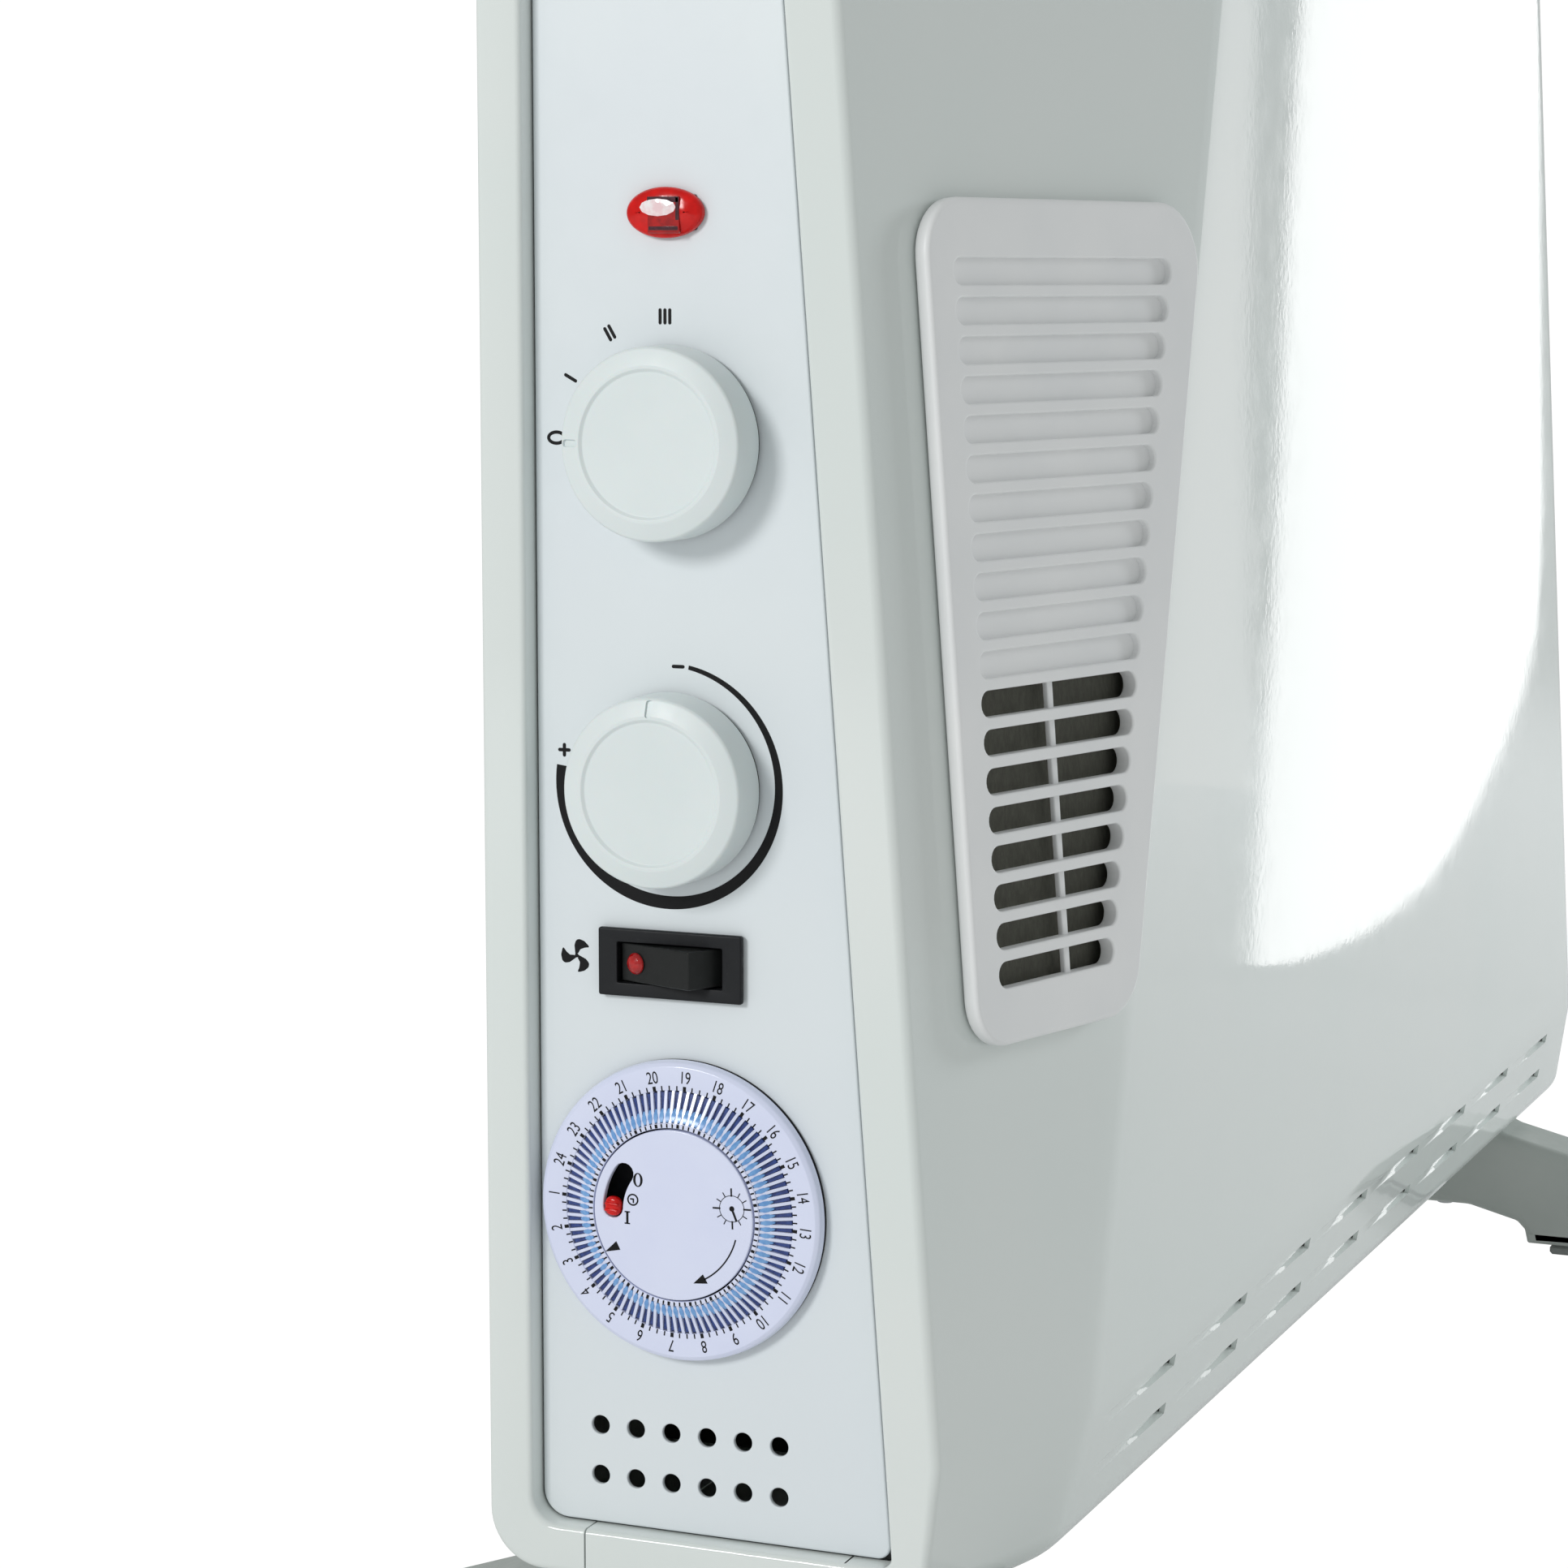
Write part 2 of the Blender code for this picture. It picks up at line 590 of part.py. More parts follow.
def lever_outline():
    corners = [(-1, -0.4), (-0.6, -1), (0.6, -1), (1, -0.4), (1, 0.4), (0.6, 1), (-0.6, 1), (-1, 0.4)]
    return [orbit(LEVER_REST + LEVER_ALONG * along, LEVER_ORBIT + LEVER_ACROSS * across) for along, across in corners]


combine(timer_centre_disc, meshed(plate("lever_slot", [lever_slot(4.4)], 3.0, 8.0, None)))
timer_mode_lever = meshed(plate("timer_mode_lever", [lever_outline()], -1.2, LEVER_TIP, RED_LENS))
bevel(timer_mode_lever, 0.5, 2, 60)


# ---- fan behind the vent: bulkhead, bracket, motor, shaft and impeller ----
def bulkhead_outline():
    heights = (6.0, HEIGHT / 2, HEIGHT - 8.0)
    front = [(min(front_at(BULKHEAD_X, up), front_at(BULKHEAD_X + 2, up)) - 6.0, up) for up in heights]
    return [(4.0, heights[0]), (front[0][0] - 8.0, heights[0]), (front[0][0], 24.0), *front[1:], (4.0, heights[-1])]


plate("fan_bulkhead", [bulkhead_outline(), circle(FAN, 41.0, 32)], -BULKHEAD_X - SHEET, -BULKHEAD_X, STEEL)

BRACKET_REACH, BRACKET_X, BRACKET_WIDTH = 48.0, 92.0, 14.0
foot_x = BULKHEAD_X + SHEET + GAP


def strap_outline(reach, x_foot, x_bar, thick=1.5, toe=8.0):
    """The bracket's section in (x, up): a top-hat of flat strap."""
    outer = [(x_foot, -reach - toe), (x_foot + thick, -reach - toe), (x_foot + thick, -reach),
             (x_bar, -reach), (x_bar, reach), (x_foot + thick, reach), (x_foot + thick, reach + toe),
             (x_foot, reach + toe), (x_foot, reach - thick), (x_bar - thick, reach - thick),
             (x_bar - thick, -reach + thick), (x_foot, -reach + thick)]
    return [(x, FAN[1] + up) for x, up in outer]


# side_frame: local X = x, local Y = up, local Z = back
side_frame = add_object("side_frame", None, None, where=world(0, 0, 0))
side_frame.rotation_euler = (math.pi / 2, 0, 0)
fan_bracket = meshed(plate("fan_bracket", [strap_outline(BRACKET_REACH, foot_x, BRACKET_X)],
                           FAN[0] - BRACKET_WIDTH / 2, FAN[0] + BRACKET_WIDTH / 2, STEEL, parent=side_frame))
combine(fan_bracket, rod("fan_bracket_hole", (80.0, *FAN), (100.0, *FAN), 3.4, None, 16))
fan_motor = rod("fan_motor", (BRACKET_X + GAP, *FAN), (BRACKET_X + GAP + 30.0, *FAN), 23.0, STEEL, 32)
bevel(fan_motor, 2.5, 2)
rod("fan_shaft", (79.0, *FAN), (BRACKET_X, *FAN), 2.0, STEEL)

IMPELLER_X, HUB_RADIUS, HUB_LENGTH, BLADE_TIP, BLADES = 82.0, 11.0, 11.0, 37.0, 5
fan_impeller = rod("fan_impeller", (IMPELLER_X - HUB_LENGTH / 2, *FAN), (IMPELLER_X + HUB_LENGTH / 2, *FAN),
                   HUB_RADIUS, BLACK_PLASTIC, 20)
bm = bmesh.new()
for blade in range(BLADES):
    length = BLADE_TIP - HUB_RADIUS + 3.0
    matrix = (Matrix.Rotation(math.tau * blade / BLADES, 4, "X")
              @ Matrix.Translation(Vector((0, 0, HUB_RADIUS - 3.0 + length / 2)) * MM)
              @ Matrix.Rotation(math.radians(28), 4, "Z")
              @ Matrix.Diagonal((1.6 * MM, 17.0 * MM, length * MM, 1)))
    bmesh.ops.create_cube(bm, size=1.0, matrix=matrix)
combine(fan_impeller, bmesh_object("impeller_blades", bm, None, where=world(IMPELLER_X, *FAN)), "UNION")
combine(fan_impeller, rod("impeller_bore", (78.6, *FAN), (95.0, *FAN), 2.4, None, 16))

# ---- heater: two U-shaped elements in end brackets, with a shield behind them ----
ELEMENT_X = (128.0, 552.0)
ELEMENT_BACKS = (40.0, 75.0)
ELEMENT_HEIGHTS = (72.0, 98.0)
ELEMENT_RADIUS = 3.3
BRACKET_XS = (140.0, 540.0)


def heating_element(name, up):
    bend = (ELEMENT_BACKS[1] - ELEMENT_BACKS[0]) / 2
    middle = ELEMENT_BACKS[0] + bend
    route = [(ELEMENT_X[0], ELEMENT_BACKS[0])]
    route += [(ELEMENT_X[1] + bend * math.sin(math.pi * i / 8), middle - bend * math.cos(math.pi * i / 8))
              for i in range(9)]
    route += [(ELEMENT_X[0], ELEMENT_BACKS[1])]
    curve = bpy.data.curves.new(name, "CURVE")
    curve.dimensions = "3D"
    curve.bevel_depth = ELEMENT_RADIUS * MM
    curve.bevel_resolution = 2
    curve.use_fill_caps = True
    spline = curve.splines.new("POLY")
    spline.points.add(len(route) - 1)
    for point, (x, back) in zip(spline.points, route):
        point.co = (*world(x, back, up), 1)
    add_object(name, curve, ELEMENT_STEEL)


for number, up in enumerate(ELEMENT_HEIGHTS, 1):
    heating_element(f"heating_element_{number}", up)

element_holes = [circle((back, up), ELEMENT_RADIUS + 0.8, 12) for back in ELEMENT_BACKS for up in ELEMENT_HEIGHTS]
bracket_edge = [(18.0, 4.0), (96.0, 4.0), (96.0, 112.0), (18.0, 112.0)]
for number, x in enumerate(BRACKET_XS, 1):
    plate(f"element_bracket_{number}", [bracket_edge] + element_holes, -x - SHEET, -x, MICA)

box("heat_shield", (130.0, 560.0), (9.0, 9.0 + SHEET), (24.0, 210.0), STEEL)
rod("thermal_cutout", (170.0, 11.0, 150.0), (170.0, 19.0, 150.0), 8.0, BLACK_PLASTIC, 20)
box("terminal_block", (40.0, 58.0), (12.0, 44.0), (112.0, 130.0), BLACK_PLASTIC)

# ---- cord inlet on the rear: a gland in a round hole; its axis runs out of the rear face ----
GLAND = (34.0, 30.0)            # x, up
rear_frame = add_object("rear_frame", None, None, where=world(GLAND[0], 0, GLAND[1]))
rear_frame.rotation_euler = (-math.pi / 2, 0, 0)
GLAND_PROFILE = [(3.6, 9.0), (5.2, 9.0), (7.6, 3.0), (10.0, 2.6), (10.0, GAP), (6.6, GAP), (6.6, -6.0), (3.6, -6.0)]
turned("cord_gland", GLAND_PROFILE, (0, 0), BLACK_PLASTIC, 20, closed=True, parent=rear_frame)
combine(rear_shell, rod("gland_hole", (GLAND[0], -5.0, GLAND[1]), (GLAND[0], 6.0, GLAND[1]), 7.0, None, 20))

# ---- screws ----
# a screw's own frame has local Z out of its head; its profile is head, then shank
SCREW_HEAD, SCREW_SHANK = (4.0, 2.2), 1.8


def screw(name, where, rotation, grip):
    head_radius, head = SCREW_HEAD
    profile = [(0, head), (head_radius * 0.6, head * 0.9), (head_radius, head * 0.35), (head_radius, 0),
               (SCREW_SHANK, 0), (SCREW_SHANK, -grip), (0, -grip)]
    frame = add_object(name + "_frame", None, None, where=where)
    frame.rotation_euler = rotation
    turned(name, profile, (0, 0), STEEL, 12, parent=frame)


REAR_SCREWS = [(x, up) for x in (24.0, 295.0, 566.0) for up in (52.0, 316.0)]
for number, (x, up) in enumerate(REAR_SCREWS, 1):
    screw(f"rear_screw_{number}", world(x, -GAP, up), (-math.pi / 2, 0, 0), 7.0)
    combine(rear_shell, rod(f"rear_hole_{number}", (x, -5.0, up), (x, 5.0, up), SCREW_SHANK + GAP, None, 12))

# ---- feet: moulded arms under the casing, with rubber pads and two screws each ----
PAD_THICK = 3.0
SOLE = -FOOT_DROP + PAD_THICK + GAP
FOOT_SIDE = [
    (104.0, -4.2), (126.0, -9.6), (150.0, -18.0), (162.0, -25.0), (FOOT_FRONT, -33.0), (163.0, SOLE),
    (111.0, SOLE), (110.0, -34.5), (107.5, -32.0), (92.0, -28.0),
]


def foot_outline():
    """Front half down to the waist, then the same shape mirrored behind the casing's middle."""
    mirrored = [(2 * BACK_MIDDLE - back, up) for back, up in FOOT_SIDE]
    return [(96.0, -GAP)] + FOOT_SIDE + list(reversed(mirrored)) + [(2 * BACK_MIDDLE - 96.0, -GAP)]


# foot_frame: local X = back, local Y = up, local Z = -x
FOOT_SCREW_BACKS = (38.0, 82.0)
PAD_BACKS = ((118.0, 161.0), (2 * BACK_MIDDLE - 161.0, 2 * BACK_MIDDLE - 118.0))
for side, x in enumerate(FOOT_XS, 1):
    middle = x + FOOT_WIDTH / 2
    foot = meshed(plate(f"foot_{side}", [foot_outline()], -x - FOOT_WIDTH, -x, FOOT_PLASTIC))
    for number, back in enumerate(FOOT_SCREW_BACKS, 1 + 2 * (side - 1)):
        name = f"foot_screw_{number}"
        screw(name, world(middle, back, -28.0 - GAP), (math.pi, 0, 0), 32.0)
        combine(foot, rod(name + "_hole", (middle, back, -40.0), (middle, back, 4.0), SCREW_SHANK + GAP, None, 12))
        combine(base_plate, rod(name + "_tap", (middle, back, -6.0), (middle, back, 6.0), SCREW_SHANK + GAP, None, 12))
    for number, ends in enumerate(PAD_BACKS, 1 + 2 * (side - 1)):
        pad = box(f"foot_pad_{number}", (x + 3.0, x + FOOT_WIDTH - 3.0), ends, (-FOOT_DROP, -FOOT_DROP + PAD_THICK), RUBBER)
        bevel(pad, 0.8, 1)
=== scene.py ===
"""Looks of the fan convector heater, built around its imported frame.

Everything is laid out in millimetres as (x, back, up), worked out from the frame's own nodes:
    x     distance from the control panel's outer face, into the casing
    back  distance forward of the casing's rear face
    up    height above the casing's underside
"""

import math

import bmesh
import bpy
from mathutils import Matrix, Vector
from mathutils.geometry import tessellate_polygon

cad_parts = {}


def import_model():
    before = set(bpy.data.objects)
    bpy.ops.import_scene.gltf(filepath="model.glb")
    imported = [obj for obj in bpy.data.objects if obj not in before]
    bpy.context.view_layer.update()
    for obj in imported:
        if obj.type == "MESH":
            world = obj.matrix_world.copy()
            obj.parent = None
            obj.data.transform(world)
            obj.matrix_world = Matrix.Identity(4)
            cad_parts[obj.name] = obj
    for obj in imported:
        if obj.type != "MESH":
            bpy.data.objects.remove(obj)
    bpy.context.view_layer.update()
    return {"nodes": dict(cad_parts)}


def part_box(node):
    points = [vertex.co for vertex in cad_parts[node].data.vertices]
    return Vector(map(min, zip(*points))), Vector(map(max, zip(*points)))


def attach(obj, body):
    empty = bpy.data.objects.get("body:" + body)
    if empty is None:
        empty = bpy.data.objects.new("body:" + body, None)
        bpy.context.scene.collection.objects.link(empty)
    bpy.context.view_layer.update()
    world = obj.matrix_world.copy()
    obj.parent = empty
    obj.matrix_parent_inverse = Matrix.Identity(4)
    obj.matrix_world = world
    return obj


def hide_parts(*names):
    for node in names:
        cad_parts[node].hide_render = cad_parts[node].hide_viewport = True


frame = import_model()

MM = 0.001
ORIGIN = Vector((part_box("control_panel")[0].x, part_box("rear_shell")[1].y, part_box("base_plate")[0].z))


def world(x, back, up):
    return ORIGIN + Vector((x, -back, up)) * MM


def spot(node):
    """(back, up) of the middle of a node."""
    low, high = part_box(node)
    middle = ((low + high) / 2 - ORIGIN) / MM
    return (-middle.y, middle.z)


def reach(node, axis):
    """A node's (lowest, highest) x, back or up."""
    low, high = ((corner - ORIGIN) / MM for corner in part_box(node))
    ends = {"x": (low.x, high.x), "back": (-high.y, -low.y), "up": (low.z, high.z)}
    return ends[axis]


# ---- driving dimensions, mm ----
X_NEAR, X_FAR = reach("front_shell", "x")
HEIGHT = reach("front_shell", "up")[1]
DEPTH = reach("front_shell", "back")[1]
FLOOR = reach("foot_pad_1", "up")[0]
END_DEPTH, END_TAPER = 102.1, 0.0761        # casing's depth at its ends, and how it shrinks with height
FACET_SLOPE = 0.287                         # forward per mm along the casing, on the slanted facets
CREASE_SOFT = 0.6                           # softness of the crease between a facet and the flat front
RECESS = -X_NEAR                            # the end panels lie this far behind the lips
SHEET = 1.2
GAP = 0.4                                   # clearance between neighbouring pieces
LIP_REAR, LIP_FRONT, LIP_LEVEL = 10.0, 11.4, 10.0
PANEL_FRONT_GAP = 1.9                       # the end panels stop this short of the front lip
FLANGE = 22.0
LIP_RETURN = 1.0                            # the lips' inner walls run this far past the panel's face

LAMP = spot("pilot_lamp_lens")
SELECTOR = spot("selector_knob")
THERMOSTAT = spot("thermostat_knob")
ROCKER = spot("rocker_housing")
TIMER = spot("timer_dial")
PANEL_HOLES = (23.6, 31.1)
HOLE_PITCH, HOLE_ROW_DROP, HOLE_RADIUS = 8.0, 10.6, 2.0


# ---- frames: millimetres in, world metres out ----
def axes(origin, x, y, z):
    turn = Matrix((x, y, z)).transposed().to_4x4()
    return Matrix.Translation(origin) @ turn @ Matrix.Scale(MM, 4)


def shifted(place, x, y, z=0.0, turn=0.0):
    """The same frame moved in its own millimetres and turned clockwise, in degrees, as seen from outside."""
    return place @ Matrix.Translation((x, y, z)) @ Matrix.Rotation(math.radians(-turn), 4, "Z")


BACK, UP, OUT = Vector((0, -1, 0)), Vector((0, 0, 1)), Vector((-1, 0, 0))
END = axes(world(0, 0, 0), BACK, UP, OUT)                   # the control panel's face
FACET_ALONG = Vector((1, -FACET_SLOPE, 0)).normalized()
FACET_OUT = Vector((-FACET_SLOPE, -1, END_TAPER)).normalized()
FACET_UP = FACET_OUT.cross(FACET_ALONG)
FACET = axes(world(X_NEAR, END_DEPTH, 0), FACET_ALONG, FACET_UP, FACET_OUT)
FACET_RISE = Vector((0, END_TAPER, 1))


def front_at_end(up):
    return END_DEPTH - END_TAPER * up


def crease_distance(up):
    return (DEPTH - front_at_end(up)) / FACET_SLOPE


def front_at(x, up):
    from_end = min(x - X_NEAR, X_FAR - x)
    short = (crease_distance(up) - from_end) * FACET_SLOPE
    return DEPTH - CREASE_SOFT * math.log1p(math.exp(short / CREASE_SOFT))


def on_facet(along, up):
    return (along + up * FACET_RISE.dot(FACET_ALONG), up * FACET_RISE.dot(FACET_UP))


# ---- materials ----
class Nodes:
    """Short names for building a material's nodes."""

    def __init__(self, name, color, roughness, metallic=0.0, **settings):
        self.material = bpy.data.materials.new(name)
        self.material.use_nodes = True
        self.tree = self.material.node_tree
        self.shader = self.tree.nodes["Principled BSDF"]
        self.color = (*color, 1.0)
        basics = {"Base Color": self.color, "Roughness": roughness, "Metallic": metallic}
        self.set(self.shader, {**basics, **settings})
        self.coordinates = self.tree.nodes.new("ShaderNodeTexCoord").outputs["Object"]

    @staticmethod
    def set(node, settings):
        for key, value in settings.items():
            node.inputs[key].default_value = value

    def link(self, output, node, key):
        self.tree.links.new(output, node.inputs[key])

    def noise(self, size, detail=2.0, roughness=0.5, stretch=None):
        """Noise with features of about `size` millimetres."""
        node = self.tree.nodes.new("ShaderNodeTexNoise")
        self.set(node, {"Scale": 1.0 / (size * MM), "Detail": detail, "Roughness": roughness})
        source = self.coordinates
        if stretch:
            mapping = self.tree.nodes.new("ShaderNodeMapping")
            mapping.inputs["Scale"].default_value = stretch
            self.link(source, mapping, "Vector")
            source = mapping.outputs["Vector"]
        self.link(source, node, "Vector")
        return node.outputs["Fac"]

    def between(self, value, low, high, to_low, to_high):
        node = self.tree.nodes.new("ShaderNodeMapRange")
        self.link(value, node, "Value")
        self.set(node, {"From Min": low, "From Max": high, "To Min": to_low, "To Max": to_high})
        return node.outputs["Result"]

    def tint(self, value, other):
        """Blends the base colour towards another one."""
        node = self.tree.nodes.new("ShaderNodeMix")
        node.data_type = "RGBA"
        self.link(value, node, "Factor")
        node.inputs["A"].default_value = self.color
        node.inputs["B"].default_value = (*other, 1.0)
        self.link(node.outputs["Result"], self.shader, "Base Color")

    def roughen(self, value):
        self.link(value, self.shader, "Roughness")

    def bump(self, height, distance, strength):
        """Adds a bump of `distance` millimetres on top of those already there."""
        node = self.tree.nodes.new("ShaderNodeBump")
        self.set(node, {"Strength": strength, "Distance": distance * MM})
        self.link(height, node, "Height")
        before = self.shader.inputs["Normal"]
        if before.is_linked:
            self.link(before.links[0].from_socket, node, "Normal")
        self.link(node.outputs["Normal"], self.shader, "Normal")


def finish(name, color, roughness, tint=None, rough=None, bumps=(), metallic=0.0, **settings):
    """A material broken up by noise; the first item of each row below holds the noise's own settings.

    tint is (noise, from, to, greatest share, other colour), rough is (noise, lowest, highest) and
    each bump is (noise, millimetres, strength).
    """
    made = Nodes(name, color, roughness, metallic, **settings)
    if tint:
        grain, low, high, share, other = tint
        made.tint(made.between(made.noise(*grain), low, high, 0.0, share), other)
    if rough:
        grain, lowest, highest = rough
        made.roughen(made.between(made.noise(*grain), 0.3, 0.7, lowest, highest))
    for grain, distance, strength in bumps:
        made.bump(made.noise(*grain), distance, strength)
    return made.material


def enamel():
    """Glossy stove enamel with a fine orange peel, over a slightly wavy sheet."""
    return finish("white_enamel", (0.755, 0.795, 0.775), 0.05,
                  ((70.0,), 0.35, 0.65, 1.0, (0.735, 0.785, 0.765)), ((9.0, 3.0), 0.03, 0.06),
                  [((230.0, 1.0), 2.2, 0.30), ((2.4, 2.0, 0.6), 0.05, 0.14)],
                  **{"Specular IOR Level": 0.5})


def panel_paint():
    """Satin cool-white paint of the end panels."""
    return finish("panel_paint", (0.765, 0.815, 0.835), 0.34,
                  ((55.0,), 0.35, 0.65, 1.0, (0.75, 0.80, 0.83)), ((6.0, 3.0), 0.30, 0.40),
                  [((0.9, 2.0, 0.6), 0.02, 0.25)])


def grille_plastic():
    """Moulded plastic with a fine matt grain and faint flow marks."""
    return finish("grille_plastic", (0.83, 0.84, 0.845), 0.42,
                  ((26.0, 3.0), 0.35, 0.7, 1.0, (0.87, 0.875, 0.875)), ((4.0, 3.0), 0.36, 0.50),
                  [((0.45, 2.0, 0.7), 0.03, 0.35)])


def knob_plastic():
    """Satin white plastic, slightly translucent."""
    return finish("knob_plastic", (0.755, 0.815, 0.815), 0.40,
                  ((14.0, 3.0), 0.35, 0.65, 1.0, (0.735, 0.80, 0.80)), ((3.0, 3.0), 0.37, 0.44),
                  [((0.8, 2.0, 0.6), 0.012, 0.10)],
                  **{"Subsurface Weight": 0.06, "Subsurface Scale": 0.002})


def black_plastic(name="black_plastic", color=(0.009, 0.010, 0.012), roughness=0.46):
    """Spark-eroded black plastic with pale dust in its grain."""
    grain = (0.28, 3.0, 0.75)
    return finish(name, color, roughness, (grain, 0.66, 0.80, 0.5, (0.16, 0.15, 0.15)),
                  ((1.6, 3.0), roughness - 0.06, roughness + 0.12), [(grain, 0.03, 0.45)],
                  **{"Specular IOR Level": 0.28})


def red_lens():
    """Glossy red plastic."""
    return finish("red_lens", (0.70, 0.006, 0.004), 0.08,
                  ((2.6, 2.0), 0.35, 0.65, 1.0, (0.56, 0.004, 0.003)), ((1.0, 2.0), 0.07, 0.14),
                  **{"Specular IOR Level": 0.35})


def deep_red():
    """The darker red seen deep in a lens."""
    return finish("red_lens_depth", (0.30, 0.004, 0.005), 0.20,
                  ((1.4, 3.0), 0.4, 0.65, 1.0, (0.46, 0.006, 0.006)),
                  **{"Coat Weight": 0.25, "Coat Roughness": 0.05})


def lens_dark():
    """The near-black bars inside the pilot lamp."""
    return finish("red_lens_dark", (0.045, 0.004, 0.010), 0.15,
                  ((0.8, 3.0), 0.5, 0.8, 1.0, (0.10, 0.012, 0.03)),
                  **{"Coat Weight": 0.7, "Coat Roughness": 0.05})


def lens_facets():
    """Pale pink painted reflection of the studio light, on the pilot lamp's faceted centre."""
    return finish("red_lens_facets", (0.90, 0.66, 0.68), 0.08,
                  ((1.8, 2.0), 0.4, 0.62, 1.0, (0.95, 0.90, 0.90)),
                  **{"Coat Weight": 1.0, "Coat Roughness": 0.02})


def dial_plastic():
    """Glossy lilac-white plastic of the timer."""
    return finish("dial_plastic", (0.735, 0.775, 0.955), 0.20,
                  ((12.0, 2.0), 0.35, 0.65, 1.0, (0.715, 0.755, 0.945)), ((2.0, 3.0), 0.16, 0.26),
                  [((0.5, 2.0, 0.6), 0.006, 0.2)],
                  **{"Coat Weight": 0.25, "Coat Roughness": 0.08})


def tappet_plastic(name, color, other):
    return finish(name, color, 0.24, ((1.1, 2.0), 0.35, 0.65, 1.0, other),
                  **{"Coat Weight": 0.2, "Coat Roughness": 0.1})


def print_ink():
    """Black ink, thin in places."""
    return finish("print_ink", (0.006, 0.006, 0.007), 0.5,
                  ((0.35, 3.0, 0.8), 0.62, 0.75, 0.6, (0.022, 0.020, 0.020)), ((0.7, 2.0), 0.32, 0.46),
                  **{"Specular IOR Level": 0.2})


def foot_plastic():
    """Satin grey plastic."""
    return finish("foot_plastic", (0.50, 0.535, 0.51), 0.40,
                  ((20.0, 3.0), 0.35, 0.65, 1.0, (0.47, 0.51, 0.485)), ((3.0, 3.0), 0.34, 0.48),
                  [((0.5, 2.0, 0.7), 0.03, 0.4)])


def rubber():
    """Grey rubber with a soft bloom."""
    return finish("rubber", (0.30, 0.32, 0.31), 0.80,
                  ((2.0, 4.0), 0.4, 0.7, 1.0, (0.25, 0.265, 0.255)),
                  bumps=[((0.4, 3.0, 0.7), 0.05, 0.6)])


def plated_steel():
    """Zinc-plated steel with a faint spangle and drawing lines."""
    return finish("steel", (0.56, 0.57, 0.58), 0.34,
                  ((7.0, 3.0), 0.4, 0.6, 1.0, (0.48, 0.49, 0.50)), ((2.5, 3.0), 0.28, 0.46),
                  [((0.6, 2.0, 0.6, (0.1, 1.0, 1.0)), 0.01, 0.3)], 1.0)


def dark_steel():
    """Phosphated sheet of the works behind the vent, kept near-black as painted shade for the inside of the
    casing.
    """
    return finish("steel_dark", (0.052, 0.054, 0.044), 0.6,
                  ((9.0, 3.0), 0.35, 0.65, 1.0, (0.068, 0.070, 0.058)), ((2.0, 3.0), 0.5, 0.7))


def filter_felt():
    """Coarse olive-grey felt-like grain, dark as painted shade for the inside of the casing seen through the
    vent.
    """
    fibres = (0.9, 5.0, 0.8, (1.0, 1.0, 0.3))
    return finish("filter_felt", (0.125, 0.125, 0.105), 0.9,
                  (fibres, 0.4, 0.65, 1.0, (0.16, 0.16, 0.135)), bumps=[(fibres, 0.2, 0.6)],
                  **{"Specular IOR Level": 0.2})


def element_steel():
    """Heat-darkened steel tube."""
    return finish("element_steel", (0.23, 0.20, 0.18), 0.45,
                  ((11.0, 4.0), 0.35, 0.65, 1.0, (0.12, 0.11, 0.13)), ((3.0, 3.0), 0.36, 0.58),
                  metallic=1.0)


def insulating_board():
    """Speckled mica board."""
    return finish("insulating_board", (0.60, 0.50, 0.34), 0.55,
                  ((5.0, 5.0, 0.7), 0.35, 0.65, 1.0, (0.42, 0.34, 0.22)),
                  bumps=[((1.0, 4.0, 0.7), 0.05, 0.5)])


ENAMEL = enamel()
PANEL_PAINT = panel_paint()
GRILLE = grille_plastic()
KNOB = knob_plastic()
BLACK = black_plastic()
PADDLE_BLACK = black_plastic("rocker_plastic", (0.011, 0.012, 0.012), 0.34)
RED = red_lens()
DEEP_RED = deep_red()
LENS_DARK = lens_dark()
# the facets' pale pink is a painted reflection of the studio light, not the lens's own colour
GLINT_PAINT = lens_facets()
DIAL = dial_plastic()
TAPPET_DARK = tappet_plastic("tappet_blue", (0.014, 0.034, 0.17), (0.026, 0.062, 0.25))
# the tips' lighter blue is a painted highlight on the same plastic as the bars
TAPPET_TIP_HIGHLIGHT = tappet_plastic("tappet_tip_blue", (0.14, 0.33, 0.68), (0.20, 0.42, 0.76))
INK = print_ink()
FOOT = foot_plastic()
RUBBER = rubber()
STEEL = plated_steel()
# near-black as painted shade for the works inside the casing
WORKS_SHADE_STEEL = dark_steel()
# dark olive painted shade for the casing's inside, seen through the vent's open slots
SLOT_SHADE_FELT = filter_felt()
ELEMENT = element_steel()
BOARD = insulating_board()


# ---- pieces ----
SKIN_SMOOTH = 40.0          # edges sharper than this, in degrees, stay sharp after a cut


def smoothed(mesh, angle):
    mesh.shade_smooth()
    mesh.set_sharp_from_angle(angle=math.radians(angle))


def piece(name, bm, mat, body, replaces=(), angle=32.0, weld=0.0005):
    """A finished mesh piece: it rides on its body and stands for the nodes it replaces."""
    if weld:
        bmesh.ops.remove_doubles(bm, verts=bm.verts, dist=weld * MM)
    bmesh.ops.recalc_face_normals(bm, faces=bm.faces)
    mesh = bpy.data.meshes.new(name)
    bm.to_mesh(mesh)
    bm.free()
    mesh.materials.append(mat)
    smoothed(mesh, angle)
    obj = bpy.data.objects.new(name, mesh)
    bpy.context.scene.collection.objects.link(obj)
    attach(obj, body)
    if replaces:
        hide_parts(*replaces)
    return obj


def evaluated_mesh(obj):
    bpy.context.view_layer.update()
    graph = bpy.context.evaluated_depsgraph_get()
    return bpy.data.meshes.new_from_object(obj.evaluated_get(graph), depsgraph=graph)


